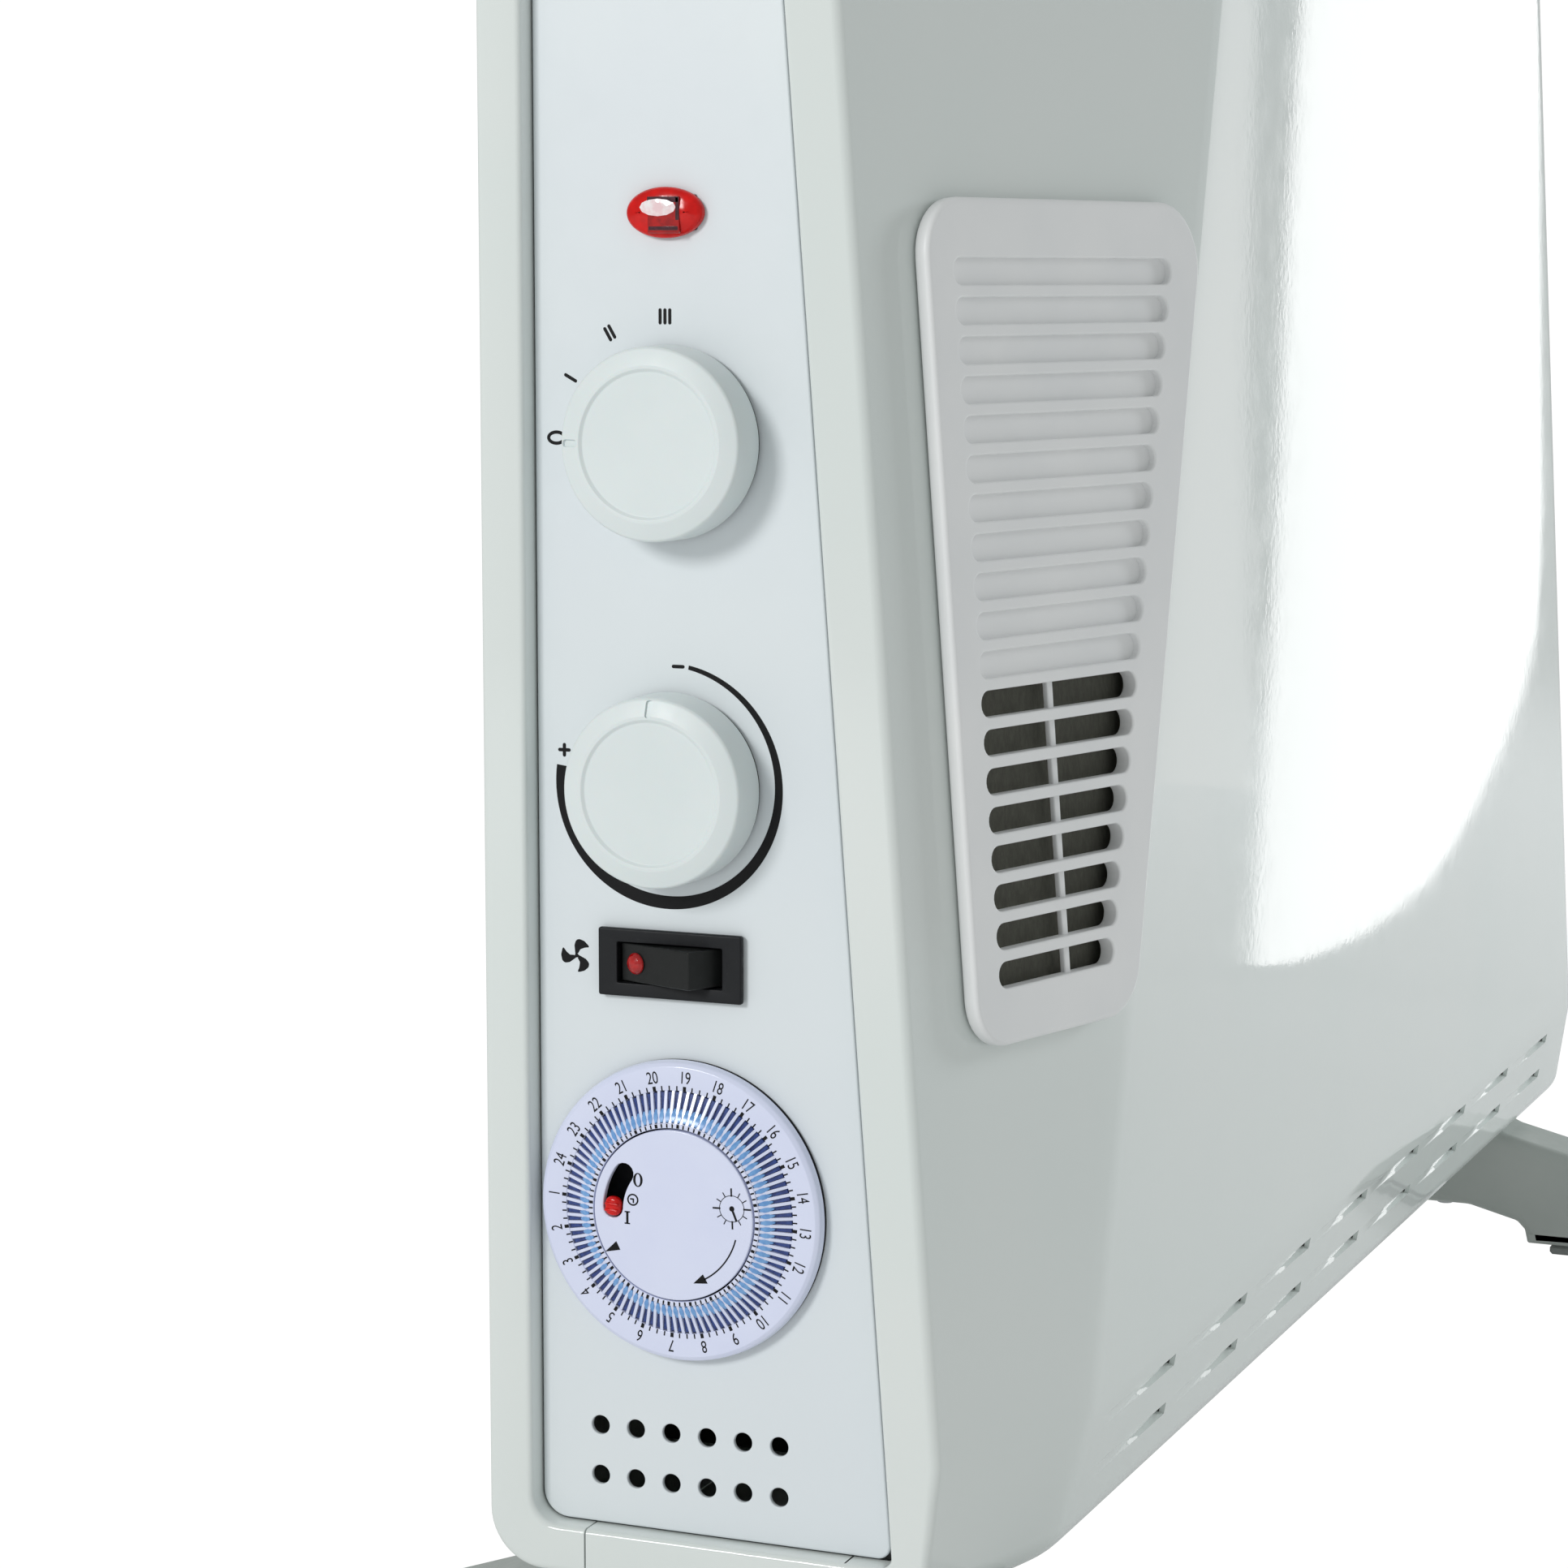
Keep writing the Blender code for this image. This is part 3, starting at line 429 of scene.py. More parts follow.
def settle(obj, angle=32.0):
    """Applies the modifiers, so that smoothing is worked out from the final shape."""
    mesh = evaluated_mesh(obj)
    obj.modifiers.clear()
    obj.data = mesh
    smoothed(mesh, angle)


def cut(obj, bm):
    """Takes the closed shape in bm out of obj."""
    bmesh.ops.recalc_face_normals(bm, faces=bm.faces)
    mesh = bpy.data.meshes.new("cutter")
    bm.to_mesh(mesh)
    bm.free()
    tool = bpy.data.objects.new("cutter", mesh)
    bpy.context.scene.collection.objects.link(tool)
    modifier = obj.modifiers.new("cut", "BOOLEAN")
    modifier.operation = "DIFFERENCE"
    modifier.solver = "EXACT"
    modifier.object = tool
    mesh = evaluated_mesh(obj)
    obj.modifiers.clear()
    obj.data = mesh
    bpy.data.objects.remove(tool, do_unlink=True)


def thicken(obj, even=False):
    """Turns an open skin into sheet steel, then settles its smoothing."""
    solid = obj.modifiers.new("sheet", "SOLIDIFY")
    solid.thickness = SHEET * MM
    solid.offset = -1
    solid.use_even_offset = even
    settle(obj, SKIN_SMOOTH)
    return obj


def cut_out(obj, bm):
    """The same, with the smoothing worked out again."""
    cut(obj, bm)
    smoothed(obj.data, SKIN_SMOOTH)


def flat_shading(obj):
    """Long flat faces keep their own normals beside the small rounded edges."""
    modifier = obj.modifiers.new("weighted", "WEIGHTED_NORMAL")
    modifier.keep_sharp = True
    modifier.weight = 90


# ---- outlines ----
def circle(centre, radius, sides=48):
    return [(centre[0] + radius * math.cos(math.tau * i / sides),
             centre[1] + radius * math.sin(math.tau * i / sides)) for i in range(sides)]


def oval(centre, width, height, sides=72):
    return [(centre[0] + width / 2 * x, centre[1] + height / 2 * y) for x, y in circle((0, 0), 1.0, sides)]


def rectangle(centre, width, height):
    (cx, cy), w, h = centre, width / 2, height / 2
    return [(cx - w, cy - h), (cx + w, cy - h), (cx + w, cy + h), (cx - w, cy + h)]


def corner_arc(before, here, after, radius, steps):
    before, here, after = Vector(before), Vector(here), Vector(after)
    to_before, to_after = before - here, after - here
    half = to_before.angle(to_after) / 2
    if radius <= 0 or half > 1.56:
        return [tuple(here)]
    run = min(radius / math.tan(half), 0.48 * to_before.length, 0.48 * to_after.length)
    radius = run * math.tan(half)
    centre = here + (to_before.normalized() + to_after.normalized()).normalized() * (radius / math.sin(half))
    start = here + to_before.normalized() * run - centre
    end = here + to_after.normalized() * run - centre
    sweep = start.angle(end) * (1 if start.x * end.y > start.y * end.x else -1)
    found = []
    for k in range(steps + 1):
        cos, sin = math.cos(sweep * k / steps), math.sin(sweep * k / steps)
        found.append((centre.x + start.x * cos - start.y * sin, centre.y + start.x * sin + start.y * cos))
    return found


def rounded(corners, radii, steps=8):
    """A closed polygon with arcs at its corners."""
    if not hasattr(radii, "__len__"):
        radii = [radii] * len(corners)
    found = []
    for i, radius in enumerate(radii):
        found += corner_arc(corners[i - 1], corners[i], corners[(i + 1) % len(corners)], radius, steps)
    return found


def softened(profile, steps=5):
    """An open profile of (radius, out, corner radius) with arcs at its inner corners."""
    points = [p[:2] for p in profile]
    found = [points[0]]
    for i in range(1, len(points) - 1):
        found += corner_arc(points[i - 1], points[i], points[i + 1], profile[i][2], steps)
    return found + [points[-1]]


def capsule(a, b, width, steps=8):
    """A straight stroke with round ends."""
    a, b = Vector(a), Vector(b)
    along = math.atan2(b.y - a.y, b.x - a.x)
    found = []
    for end, first in ((b, along - math.pi / 2), (a, along + math.pi / 2)):
        for k in range(steps + 1):
            angle = first + math.pi * k / steps
            found.append((end.x + width / 2 * math.cos(angle), end.y + width / 2 * math.sin(angle)))
    return found


def level_slot(left, right, middle, width, steps=10):
    return capsule((left + width / 2, middle), (right - width / 2, middle), width, steps)


def clock(degrees, radius, centre=(0, 0)):
    """A point on a circle, by its angle clockwise from straight up as seen from outside."""
    angle = math.radians(degrees)
    return (centre[0] + radius * math.sin(angle), centre[1] + radius * math.cos(angle))


def arc_band(centre, start, end, inner, outer, steps=64):
    """A band between two angles; inner and outer are radii, or functions of the share of the way."""
    shares = [k / steps for k in range(steps + 1)]
    angle = lambda share: start + (end - start) * share
    edge = [clock(angle(s), outer(s) if callable(outer) else outer, centre) for s in shares]
    edge += [clock(angle(s), inner(s) if callable(inner) else inner, centre) for s in reversed(shares)]
    return edge if end < start else list(reversed(edge))


def anticlockwise(loop):
    """The loop, turned round if it runs the other way."""
    signed = sum(a[0] * b[1] - b[0] * a[1] for a, b in zip(loop, loop[1:] + loop[:1]))
    return loop if signed > 0 else loop[::-1]


# ---- solids ----
def outward(loop):
    """At each point of a counter-clockwise loop, the way to move it so that its sides shift by 1."""
    found = []
    for i, here in enumerate(loop):
        before, after = Vector(loop[i - 1]), Vector(loop[(i + 1) % len(loop)])
        here = Vector(here)
        first, second = (here - before).normalized(), (after - here).normalized()
        normals = [Vector((side.y, -side.x)) for side in (first, second)]
        middle = (normals[0] + normals[1]).normalized()
        found.append(middle / max(0.35, middle.dot(normals[0])))
    return found


def bridge(bm, rings, closed=True):
    for lower, upper in zip(rings, rings[1:]):
        count = len(lower)
        for i in range(count if closed else count - 1):
            j = (i + 1) % count
            corners = []
            for vert in (lower[i], lower[j], upper[j], upper[i]):
                if vert not in corners:
                    corners.append(vert)
            if len(corners) > 2:
                bm.faces.new(corners)


def cap(bm, rings, loops):
    """Fills a flat face between an outline and its holes."""
    flat = [vert for ring in rings for vert in ring]
    for triangle in tessellate_polygon([[Vector((x, y, 0)) for x, y in loop] for loop in loops]):
        corners = [flat[i] for i in triangle]
        if len(set(corners)) == 3:
            bm.faces.new(corners)


def rings_of(bm, place, loop, levels, hole):
    """One ring of vertices for each (inset, height)."""
    ways = outward(loop)
    sign = 1.0 if hole else -1.0
    made = []
    for inset, height in levels:
        points = [(x + sign * inset * w.x, y + sign * inset * w.y) for (x, y), w in zip(loop, ways)]
        made.append((points, [bm.verts.new(place @ Vector((x, y, height))) for x, y in points]))
    return made


def edge_levels(low, high, radius, steps, lower=True):
    """(inset, height) round the upper edge, down the side and round the lower edge."""
    turns = [math.pi / 2 * k / steps for k in range(steps + 1)] if radius > 0 else [0.0]
    levels = [(radius * (1 - math.sin(a)), high - radius * (1 - math.cos(a))) for a in turns]
    below = [(inset, low + high - height) for inset, height in reversed(levels)]
    return levels + (below if lower else [(0.0, low)])


def soft_plate(bm, place, outline, low, high, edge=0.0, holes=(), rim=0.0, pockets=(), depth=0.0, steps=4):
    """A flat piece with rounded edges, holes right through it and flat pockets in its upper face."""
    parts = [(rings_of(bm, place, outline, edge_levels(low, high, edge, steps), False))]
    parts += [rings_of(bm, place, hole, edge_levels(low, high, rim, steps), True) for hole in holes]
    well_levels = edge_levels(high - depth, high, rim, steps, False)
    wells = [rings_of(bm, place, pocket, well_levels, True) for pocket in pockets]
    for rings in parts + wells:
        bridge(bm, [ring for points, ring in rings])
    tops = parts + wells
    cap(bm, [rings[0][1] for rings in tops], [rings[0][0] for rings in tops])
    cap(bm, [rings[-1][1] for rings in parts], [rings[-1][0] for rings in parts])
    for rings in wells:
        cap(bm, [rings[-1][1]], [rings[-1][0]])


def stamp(bm, place, outline, low, high, holes=()):
    soft_plate(bm, place, outline, low, high, holes=holes)


def turned(bm, place, profile, steps=96, closed=False):
    """A profile of (radius, out), turned round the frame's Z."""
    rings = []
    for radius, out in profile:
        if radius < 1e-6:
            rings.append([bm.verts.new(place @ Vector((0, 0, out)))] * steps)
        else:
            points = [clock(360.0 * i / steps, radius) for i in range(steps)]
            rings.append([bm.verts.new(place @ Vector((*point, out))) for point in points])
    bridge(bm, rings + (rings[:1] if closed else []))


def letters(bm, place, text, height, squeeze=1.0, thick=0.03, bold=0.0):
    """Digits or signs drawn flat at the frame's origin, centred, `height` millimetres tall."""
    font_height = 0.7           # a capital's height in this font, for a size of 1
    curve = bpy.data.curves.new("letters", "FONT")
    curve.body = text
    curve.align_x, curve.align_y = "CENTER", "CENTER"
    curve.size = height / font_height
    curve.extrude = thick / 2
    curve.offset = bold
    obj = bpy.data.objects.new("letters", curve)
    bpy.context.scene.collection.objects.link(obj)
    mesh = evaluated_mesh(obj)
    mesh.transform(place @ Matrix.Diagonal((squeeze, 1, 1, 1)))
    bm.from_mesh(mesh)
    bpy.data.objects.remove(obj, do_unlink=True)


# ---- casing ----
SKIN_ROUND, WALL_ROUND = 1.8, 1.2       # edge radii of the lips, outside and beside the panel
GROOVE_ROWS = (26.4, 15.0)              # heights of the two rows of pressed louvres
GROOVE_FIRST, GROOVE_PITCH, GROOVES, GROOVE_LENGTH, GROOVE_DEPTH = 109.0, 57.3, 8, 50.0, 1.9
# a louvre's section: (height from its middle, share of its depth)
GROOVE_SECTION = [(1.35, 0.0), (1.2, 0.4), (0.9, 1.0), (-0.9, 1.0), (-1.25, 0.4), (-1.45, 0.0)]
GROOVE_SHARES = (0.0, 0.12, 0.3, 0.5, 0.7, 0.86, 1.0)
STEADY_UP = 28.0                        # below this height the bends along the casing stand upright


def arc(centre, radius, start, end, steps=12):
    return [(centre[0] + radius * math.cos(math.radians(start + (end - start) * i / steps)),
             centre[1] + radius * math.sin(math.radians(start + (end - start) * i / steps)))
            for i in range(steps + 1)]


def front_profile(inset, level, low_radius, high_radius, toe):
    """(setback from the front skin, up) as (bottom flange and bend, top bend and flange)."""
    low_centre = (inset + toe + low_radius, level + low_radius)
    high_centre = (inset + high_radius, HEIGHT - level - high_radius)
    return ([(FLANGE, level)] + arc(low_centre, low_radius, 270, 190),
            arc(high_centre, high_radius, 180, 90) + [(FLANGE, HEIGHT - level)])


def rear_profile(inset, level, radius):
    high_centre = (inset + radius, HEIGHT - level - radius)
    low_centre = (inset + radius, level + radius)
    return ([(FLANGE, HEIGHT - level)] + arc(high_centre, radius, 90, 180)
            + arc(low_centre, radius, 180, 270) + [(FLANGE, level)])


def mixed(a, b, share):
    return (a[0] + (b[0] - a[0]) * share, a[1] + (b[1] - a[1]) * share)


def front_rows():
    """(point on the skin, point on the lip's inner edge, louvre share), from the bottom to the top."""
    straight_up = 32.0
    outer_low, outer_high = front_profile(0, 0, 9.0, 12.0, 4.6)
    inner_low, inner_high = front_profile(LIP_FRONT, LIP_LEVEL, 3.0, 4.0, 0.0)
    rows = [(a, b, 0.0) for a, b in zip(outer_low, inner_low)]
    start, end = (outer_low[-1], inner_low[-1]), ((0, straight_up), (LIP_FRONT, straight_up))
    for middle in reversed(GROOVE_ROWS):
        for rise, share in reversed(GROOVE_SECTION):
            way = (middle + rise - start[0][1]) / (straight_up - start[0][1])
            rows.append((mixed(start[0], end[0], way), mixed(start[1], end[1], way), share))
    stretch = ((outer_high[0], inner_high[0]), end)
    for way in (0.0, 0.02, 0.1, 0.25, 0.4, 0.55, 0.7, 0.85, 0.97):
        rows.append((mixed(end[0], stretch[0][0], way), mixed(end[1], stretch[0][1], way), 0.0))
    return rows + [(a, b, 0.0) for a, b in zip(outer_high, inner_high)]


def lip_stations(width):
    """(distance from the casing's end, share of the lip) round the lip, from the panel to the skin."""
    turns = [math.pi / 2 * k / 5 for k in range(6)]
    found = [(RECESS + LIP_RETURN, width)]
    found += [(WALL_ROUND * (1 - math.sin(a)), width - WALL_ROUND * (1 - math.cos(a))) for a in turns]
    found += [(SKIN_ROUND * (1 - math.cos(a)), SKIN_ROUND * (1 - math.sin(a))) for a in turns]
    return [(distance, across / width) for distance, across in found]


def louvre_columns():
    """(x, progress along a louvre) between the creases; a louvre's open end has two columns."""
    found = []
    for k in range(GROOVES):
        mouth = GROOVE_FIRST + GROOVE_PITCH * k
        found += [(mouth - GROOVE_LENGTH * (1 - share), share) for share in GROOVE_SHARES]
        found.append((mouth, 0.0))
    return found


def skin_columns(up, louvred):
    """(x, louvre progress) along the skin between the two lips."""
    crease = crease_distance(up)
    steady = crease_distance(max(up, STEADY_UP))
    bends = [crease * share for share in (0.25, 0.5, 0.75, 0.9)]
    bends += [crease + d for d in (-2.6, -1.2, 0, 1.2, 2.6, 5)]
    near = [(X_NEAR + d, 0.0) for d in bends]
    far = [(X_FAR - d, 0.0) for d in reversed(bends)]
    if not louvred:
        return near + far
    low, high = X_NEAR + steady, X_FAR - steady
    louvre_low, louvre_high = X_NEAR + crease_distance(STEADY_UP), X_FAR - crease_distance(STEADY_UP)
    middle = []
    for x, progress in louvre_columns():
        share = (x - louvre_low) / (louvre_high - louvre_low)
        middle.append((low + (high - low) * share, progress))
    return near + middle + far


def folded_sheet(name, rows, lip, replaces, skin, louvred=False):
    """A folded sheet with a rounded lip and a short return wall at each end."""
    bm = bmesh.new()
    grid = []
    stations = lip_stations(lip)
    for outer, inner, share in rows:
        line = []
        near = [(X_NEAR + d, s) for d, s in stations]
        for x, across in near:
            line.append(world(x, *mixed(skin(x, outer), skin(X_NEAR, inner), across)))
        for x, progress in skin_columns(outer[1], louvred):
            back, up = skin(x, outer)
            line.append(world(x, back - GROOVE_DEPTH * share * progress ** 1.3, up))
        for d, across in reversed(stations):
            x = X_FAR - d
            line.append(world(x, *mixed(skin(x, outer), skin(X_FAR, inner), across)))
        grid.append([bm.verts.new(point) for point in line])
    lip_marks = [0.0] * len(stations)
    marks = lip_marks + [p for x, p in skin_columns(HEIGHT / 2, louvred)] + lip_marks
    for lower, upper in zip(grid, grid[1:]):
        for i, corners in enumerate(zip(lower, lower[1:], upper[1:], upper)):
            at_mouth = marks[i] == 1.0 and marks[i + 1] == 0.0
            if not at_mouth:
                bm.faces.new(corners)
    return thicken(piece(name, bm, ENAMEL, "casing", replaces, weld=0.001), even=True)


def front_skin(x, point):
    return (front_at(x, point[1]) - point[0], point[1])


def rear_skin(x, point):
    return point


front_shell = folded_sheet("front_shell_skin", front_rows(), LIP_FRONT, ["front_shell"], front_skin, True)
rear_pairs = zip(rear_profile(0, 0, 12.0), rear_profile(LIP_REAR, LIP_LEVEL, 6.0))
rear_rows = [(outer, inner, 0.0) for outer, inner in rear_pairs]
folded_sheet("rear_shell_skin", rear_rows, LIP_REAR, ["rear_shell"], rear_skin)


def level_sheet(name, up, lip_up, edges, replaces):
    """The top or bottom sheet between the shells' flanges; edges tells which side is the front."""
    stations = lip_stations(LIP_LEVEL)
    grid = []
    bm = bmesh.new()
    for at_front in edges:
        def skin(x, height):
            return (front_at(x, up) - FLANGE - GAP if at_front else FLANGE + GAP, height)
        line = [world(X_NEAR + d, *mixed(skin(X_NEAR + d, up), skin(X_NEAR, lip_up), s)) for d, s in stations]
        line += [world(x, *skin(x, up)) for x, progress in skin_columns(up, False)]
        line += [world(X_FAR - d, *mixed(skin(X_FAR - d, up), skin(X_FAR, lip_up), s))
                 for d, s in reversed(stations)]
        grid.append([bm.verts.new(point) for point in line])
    bridge(bm, grid, closed=False)
    return thicken(piece(name, bm, ENAMEL, "casing", replaces, weld=0.001))


base_plate = level_sheet("base_plate_skin", 0.0, LIP_LEVEL, (False, True), ["base_plate"])
top_grille = level_sheet("top_grille_skin", HEIGHT, HEIGHT - LIP_LEVEL, (True, False), ["top_grille"])


SLOT_CORNER, CUT_REACH = 2.4, 6.0


def slot_cutter(count, pitch, size, rows_back, up):
    """Slots with rounded corners through a level sheet."""
    bm = bmesh.new()
    first = (X_NEAR + X_FAR) / 2 - pitch * (count - 1) / 2
    level = axes(world(0, 0, up), Vector((1, 0, 0)), Vector((0, -1, 0)), Vector((0, 0, -1)))
    for back in rows_back:
        for i in range(count):
            outline = rounded(rectangle((first + pitch * i, back), *size), SLOT_CORNER, 5)
            stamp(bm, level, outline, -CUT_REACH, CUT_REACH)
    return bm


# slots in a row, their pitch, their size, and how far back each row lies
OUTLET = (24, 21.0, (15.0, 12.0), (34.0, 50.0))
INTAKE = (12, 26.0, (18.0, 26.0), (40.0, 70.0))
cut_out(top_grille, slot_cutter(*OUTLET, HEIGHT))
cut_out(base_plate, slot_cutter(*INTAKE, 0.0))

# ---- end panels ----
panel_high, panel_low = HEIGHT - LIP_LEVEL - GAP, LIP_LEVEL + GAP


def panel_outline():
    rear = LIP_REAR + GAP
    front = [front_at_end(up) - LIP_FRONT - PANEL_FRONT_GAP for up in (panel_low, panel_high)]
    corners = [(rear, panel_low), (front[0], panel_low), (front[1], panel_high), (rear, panel_high)]
    return rounded(corners, (5.6, 2.8, 3.6, 5.6))


def hole_grid():
    back, up = PANEL_HOLES
    return [circle((back + HOLE_PITCH * i, up - HOLE_ROW_DROP * row), HOLE_RADIUS, 32)
            for row in range(2) for i in range(6)]


SPINDLE_HOLE, TIMER_HOLE, LAMP_CUTOUT, ROCKER_CUTOUT = 4.2, 18.5, (12.8, 6.8), (27.6, 12.6)


def end_panel(name, node, low, openings=()):
    """A painted panel with rounded edges, its rows of holes and other openings."""
    edge, rim = 0.5, 0.28
    bm = bmesh.new()
    soft_plate(bm, END, panel_outline(), low, low + SHEET, edge, hole_grid() + list(openings), rim)
    flat_shading(piece(name, bm, PANEL_PAINT, "casing", [node], 60))


cutouts = [rounded(rectangle(LAMP, *LAMP_CUTOUT), 0.5, 3), rounded(rectangle(ROCKER, *ROCKER_CUTOUT), 0.5, 3)]
bores = [circle(SELECTOR, SPINDLE_HOLE), circle(THERMOSTAT, SPINDLE_HOLE), circle(TIMER, TIMER_HOLE, 64)]
end_panel("control_panel_face", "control_panel", -SHEET, bores + cutouts)
end_panel("blind_end_face", "blind_end_panel", -(X_FAR - RECESS))

# ---- printing on the control panel ----
PRINT = 0.04                        # the ink stands this far off the surface
PRINT_LIFT = 0.005                  # and this much further where one mark crosses another
SELECTOR_PRINT, SELECTOR_PRINT_RADIUS = (39.2, 234.9), 23.7
ZERO_TURN = 91.3                    # where the 0 stands, degrees anticlockwise from III
THERMOSTAT_PRINT, THERMOSTAT_PRINT_RADIUS = (39.5, 165.0), 24.95
MINUS_SIGN, PLUS_SIGN = (41.8, 189.2), (16.45, 171.3)


def selector_marks(bm):
    """III, II, I and 0, each standing radially round the knob."""
    step, bar_pitch, bar_width, half_bar = 30.6, 1.05, 0.68, 1.25
    for position, bars in ((0, 3), (1, 2), (2, 1)):
        place = shifted(END, *SELECTOR_PRINT, turn=-step * position)
        for k in range(bars):
            across = (k - (bars - 1) / 2) * bar_pitch
            low, high = ((across, SELECTOR_PRINT_RADIUS + end) for end in (-half_bar, half_bar))
            stamp(bm, place, capsule(low, high, bar_width), 0, PRINT)
    place = shifted(END, *SELECTOR_PRINT, turn=-ZERO_TURN)
    middle = (0, SELECTOR_PRINT_RADIUS + 0.3)
    stamp(bm, place, oval(middle, 2.9, 4.2), 0, PRINT, [oval(middle, 1.55, 2.8)])


def thermostat_marks(bm):
    """A band that swells from minus to plus."""
    start, end = 10.7, 277.6
    outer, thin, thick = THERMOSTAT_PRINT_RADIUS, 0.85, 2.7

    def inner(share):
        return outer - thin - (thick - thin) * min(1.0, share * 1.55)

    band = arc_band(THERMOSTAT_PRINT, start, end, inner, lambda s: outer, 120)
    stamp(bm, END, band, 0, PRINT)
    half, width = 1.05, 0.72
    for x, y in (MINUS_SIGN, PLUS_SIGN):
        stamp(bm, END, capsule((x - half, y), (x + half, y), width), 0, PRINT)
    x, y = PLUS_SIGN
    stamp(bm, END, capsule((x, y - half), (x, y + half), width), 0, PRINT + 2 * PRINT_LIFT)


FAN_SIGN = (18.9, 129.2)
# one blade, clockwise from the hub
FAN_BLADE = [(-0.3, 0.2), (-0.5, 2.1), (-0.15, 3.15), (0.6, 3.45), (1.75, 3.05), (2.55, 2.3), (2.9, 1.85),
             (1.8, 1.7), (0.8, 1.3), (0.35, 0.5)]


def fan_sign(bm):
    for blade in range(3):
        outline = rounded(FAN_BLADE[::-1], (0.0, 0.6, 0.8, 0.2, 0.8, 0.8, 0.9, 0.8, 1.0, 0.0), 4)
        stamp(bm, shifted(END, *FAN_SIGN, turn=120.0 * blade), outline, 0, PRINT + 0.004 * blade)
    stamp(bm, END, circle(FAN_SIGN, 0.42, 20), 0, PRINT + 0.012)


bm = bmesh.new()
selector_marks(bm)
thermostat_marks(bm)
fan_sign(bm)
piece("panel_marks", bm, INK, "casing", weld=0)

# ---- vent grille ----
GRILLE_LOW, GRILLE_HIGH = 113.0, 281.8
GRILLE_LEFT, GRILLE_RIGHT, GRILLE_LEAN = 18.0, 44.3, 0.2664
GRILLE_THICK = 3.6
SLOTS, BLIND_SLOTS = 19, 11
SLOT_TOP, SLOT_PITCH, SLOT_WIDTH = 267.2, 7.78, 5.4
SLOT_LEFT, SLOT_RIGHT, SLOT_RIGHT_STEP = 26.3, 104.1, 2.056


def facet_loop(points):
    return [on_facet(along, up) for along, up in points]


def grille_slot(index):
    right = SLOT_RIGHT - SLOT_RIGHT_STEP * index
    return facet_loop(level_slot(SLOT_LEFT, right, SLOT_TOP - SLOT_PITCH * index, SLOT_WIDTH))


def vent_grille():
    corners = [(GRILLE_LEFT, GRILLE_LOW), (GRILLE_RIGHT + GRILLE_LEAN * GRILLE_LOW, GRILLE_LOW),
               (GRILLE_RIGHT + GRILLE_LEAN * GRILLE_HIGH, GRILLE_HIGH), (GRILLE_LEFT, GRILLE_HIGH)]
    outline = facet_loop(rounded(corners, (10.0, 13.0, 13.0, 12.0), 10))
    blind = [grille_slot(i) for i in range(BLIND_SLOTS)]
    through = [grille_slot(i) for i in range(BLIND_SLOTS, SLOTS)]
    bm = bmesh.new()
    soft_plate(bm, FACET, outline, GAP, GAP + GRILLE_THICK, 1.1, through, 0.45, blind, 1.6)
    obj = piece("vent_grille_plate", bm, GRILLE, "casing", ["vent_grille"], 60)
    flat_shading(obj)
    bm = bmesh.new()
    rib_along, rib_width = 53.0, 2.0
    low, high = on_facet(rib_along, 123.5), on_facet(rib_along, 185.5)
    rib = rounded([(low[0] - rib_width / 2, low[1]), (low[0] + rib_width / 2, low[1]),
                   (high[0] + rib_width / 2, high[1]), (high[0] - rib_width / 2, high[1])], 0.3, 3)
    soft_plate(bm, FACET, rib, 0.6, 1.9, 0.3)
    piece("vent_grille_rib", bm, GRILLE, "casing", angle=60)


def vent_filter():
    """A dark sheet just behind the open slots, painted shade for the dark inside of the casing."""
    bm = bmesh.new()
    corners = [(19.5, 119.0), (75.0, 119.0), (93.5, 190.0), (19.5, 190.0)]
    soft_plate(bm, FACET, facet_loop(rounded(corners, 3.0, 4)), -3.4, -1.9, 0.3)
    piece("vent_filter", bm, SLOT_SHADE_FELT, "casing", angle=60)


vent_grille()
vent_filter()
bm = bmesh.new()
VENT_OPENING = [(22.5, 122.0), (73.5, 122.0), (90.5, 187.0), (22.5, 187.0)]
stamp(bm, FACET, facet_loop(rounded(VENT_OPENING, 3.0, 4)), -CUT_REACH, 3.0)
cut_out(front_shell, bm)
flat_shading(front_shell)

# ---- pilot lamp ----
LENS_SIZE, LENS_RISE = (16.5, 10.0), 2.6


def pilot_lamp():
    """A low red dome, its dark window and the bars across that."""
    top = GAP + LENS_RISE
    bm = bmesh.new()
    levels = [(0.0, GAP), (0.0, GAP + 0.9), (0.15, GAP + 1.2), (0.55, GAP + 1.7), (0.9, GAP + 1.85),
              (2.2, top - 0.45), (3.6, top - 0.15)]
    rings = rings_of(bm, END, oval(LAMP, *LENS_SIZE, 96), levels, False)
    bridge(bm, [ring for points, ring in rings])
    for points, ring in (rings[0], rings[-1]):
        cap(bm, [ring], [points])
    piece("pilot_lamp_dome", bm, RED, "casing", ["pilot_lamp_lens"], 50)
    bm = bmesh.new()
    window = (LAMP[0] + 0.45, LAMP[1] - 0.5)
    soft_plate(bm, END, rounded(rectangle(window, 6.8, 7.2), 0.3, 3), top - 1.5, top + 0.02, 0.15)
    piece("pilot_lamp_window", bm, DEEP_RED, "casing", angle=50)
    bm = bmesh.new()
    for across, rise, size in ((-0.1, 3.0, (6.7, 1.1)), (0.0, -2.6, (6.3, 0.75)), (3.0, 1.2, (0.75, 4.4))):
        bar = rectangle((window[0] + across, window[1] + rise), *size)
        soft_plate(bm, END, bar, top - 0.5, top + 0.05, 0.03)
    piece("pilot_lamp_bars", bm, LENS_DARK, "casing", angle=50)


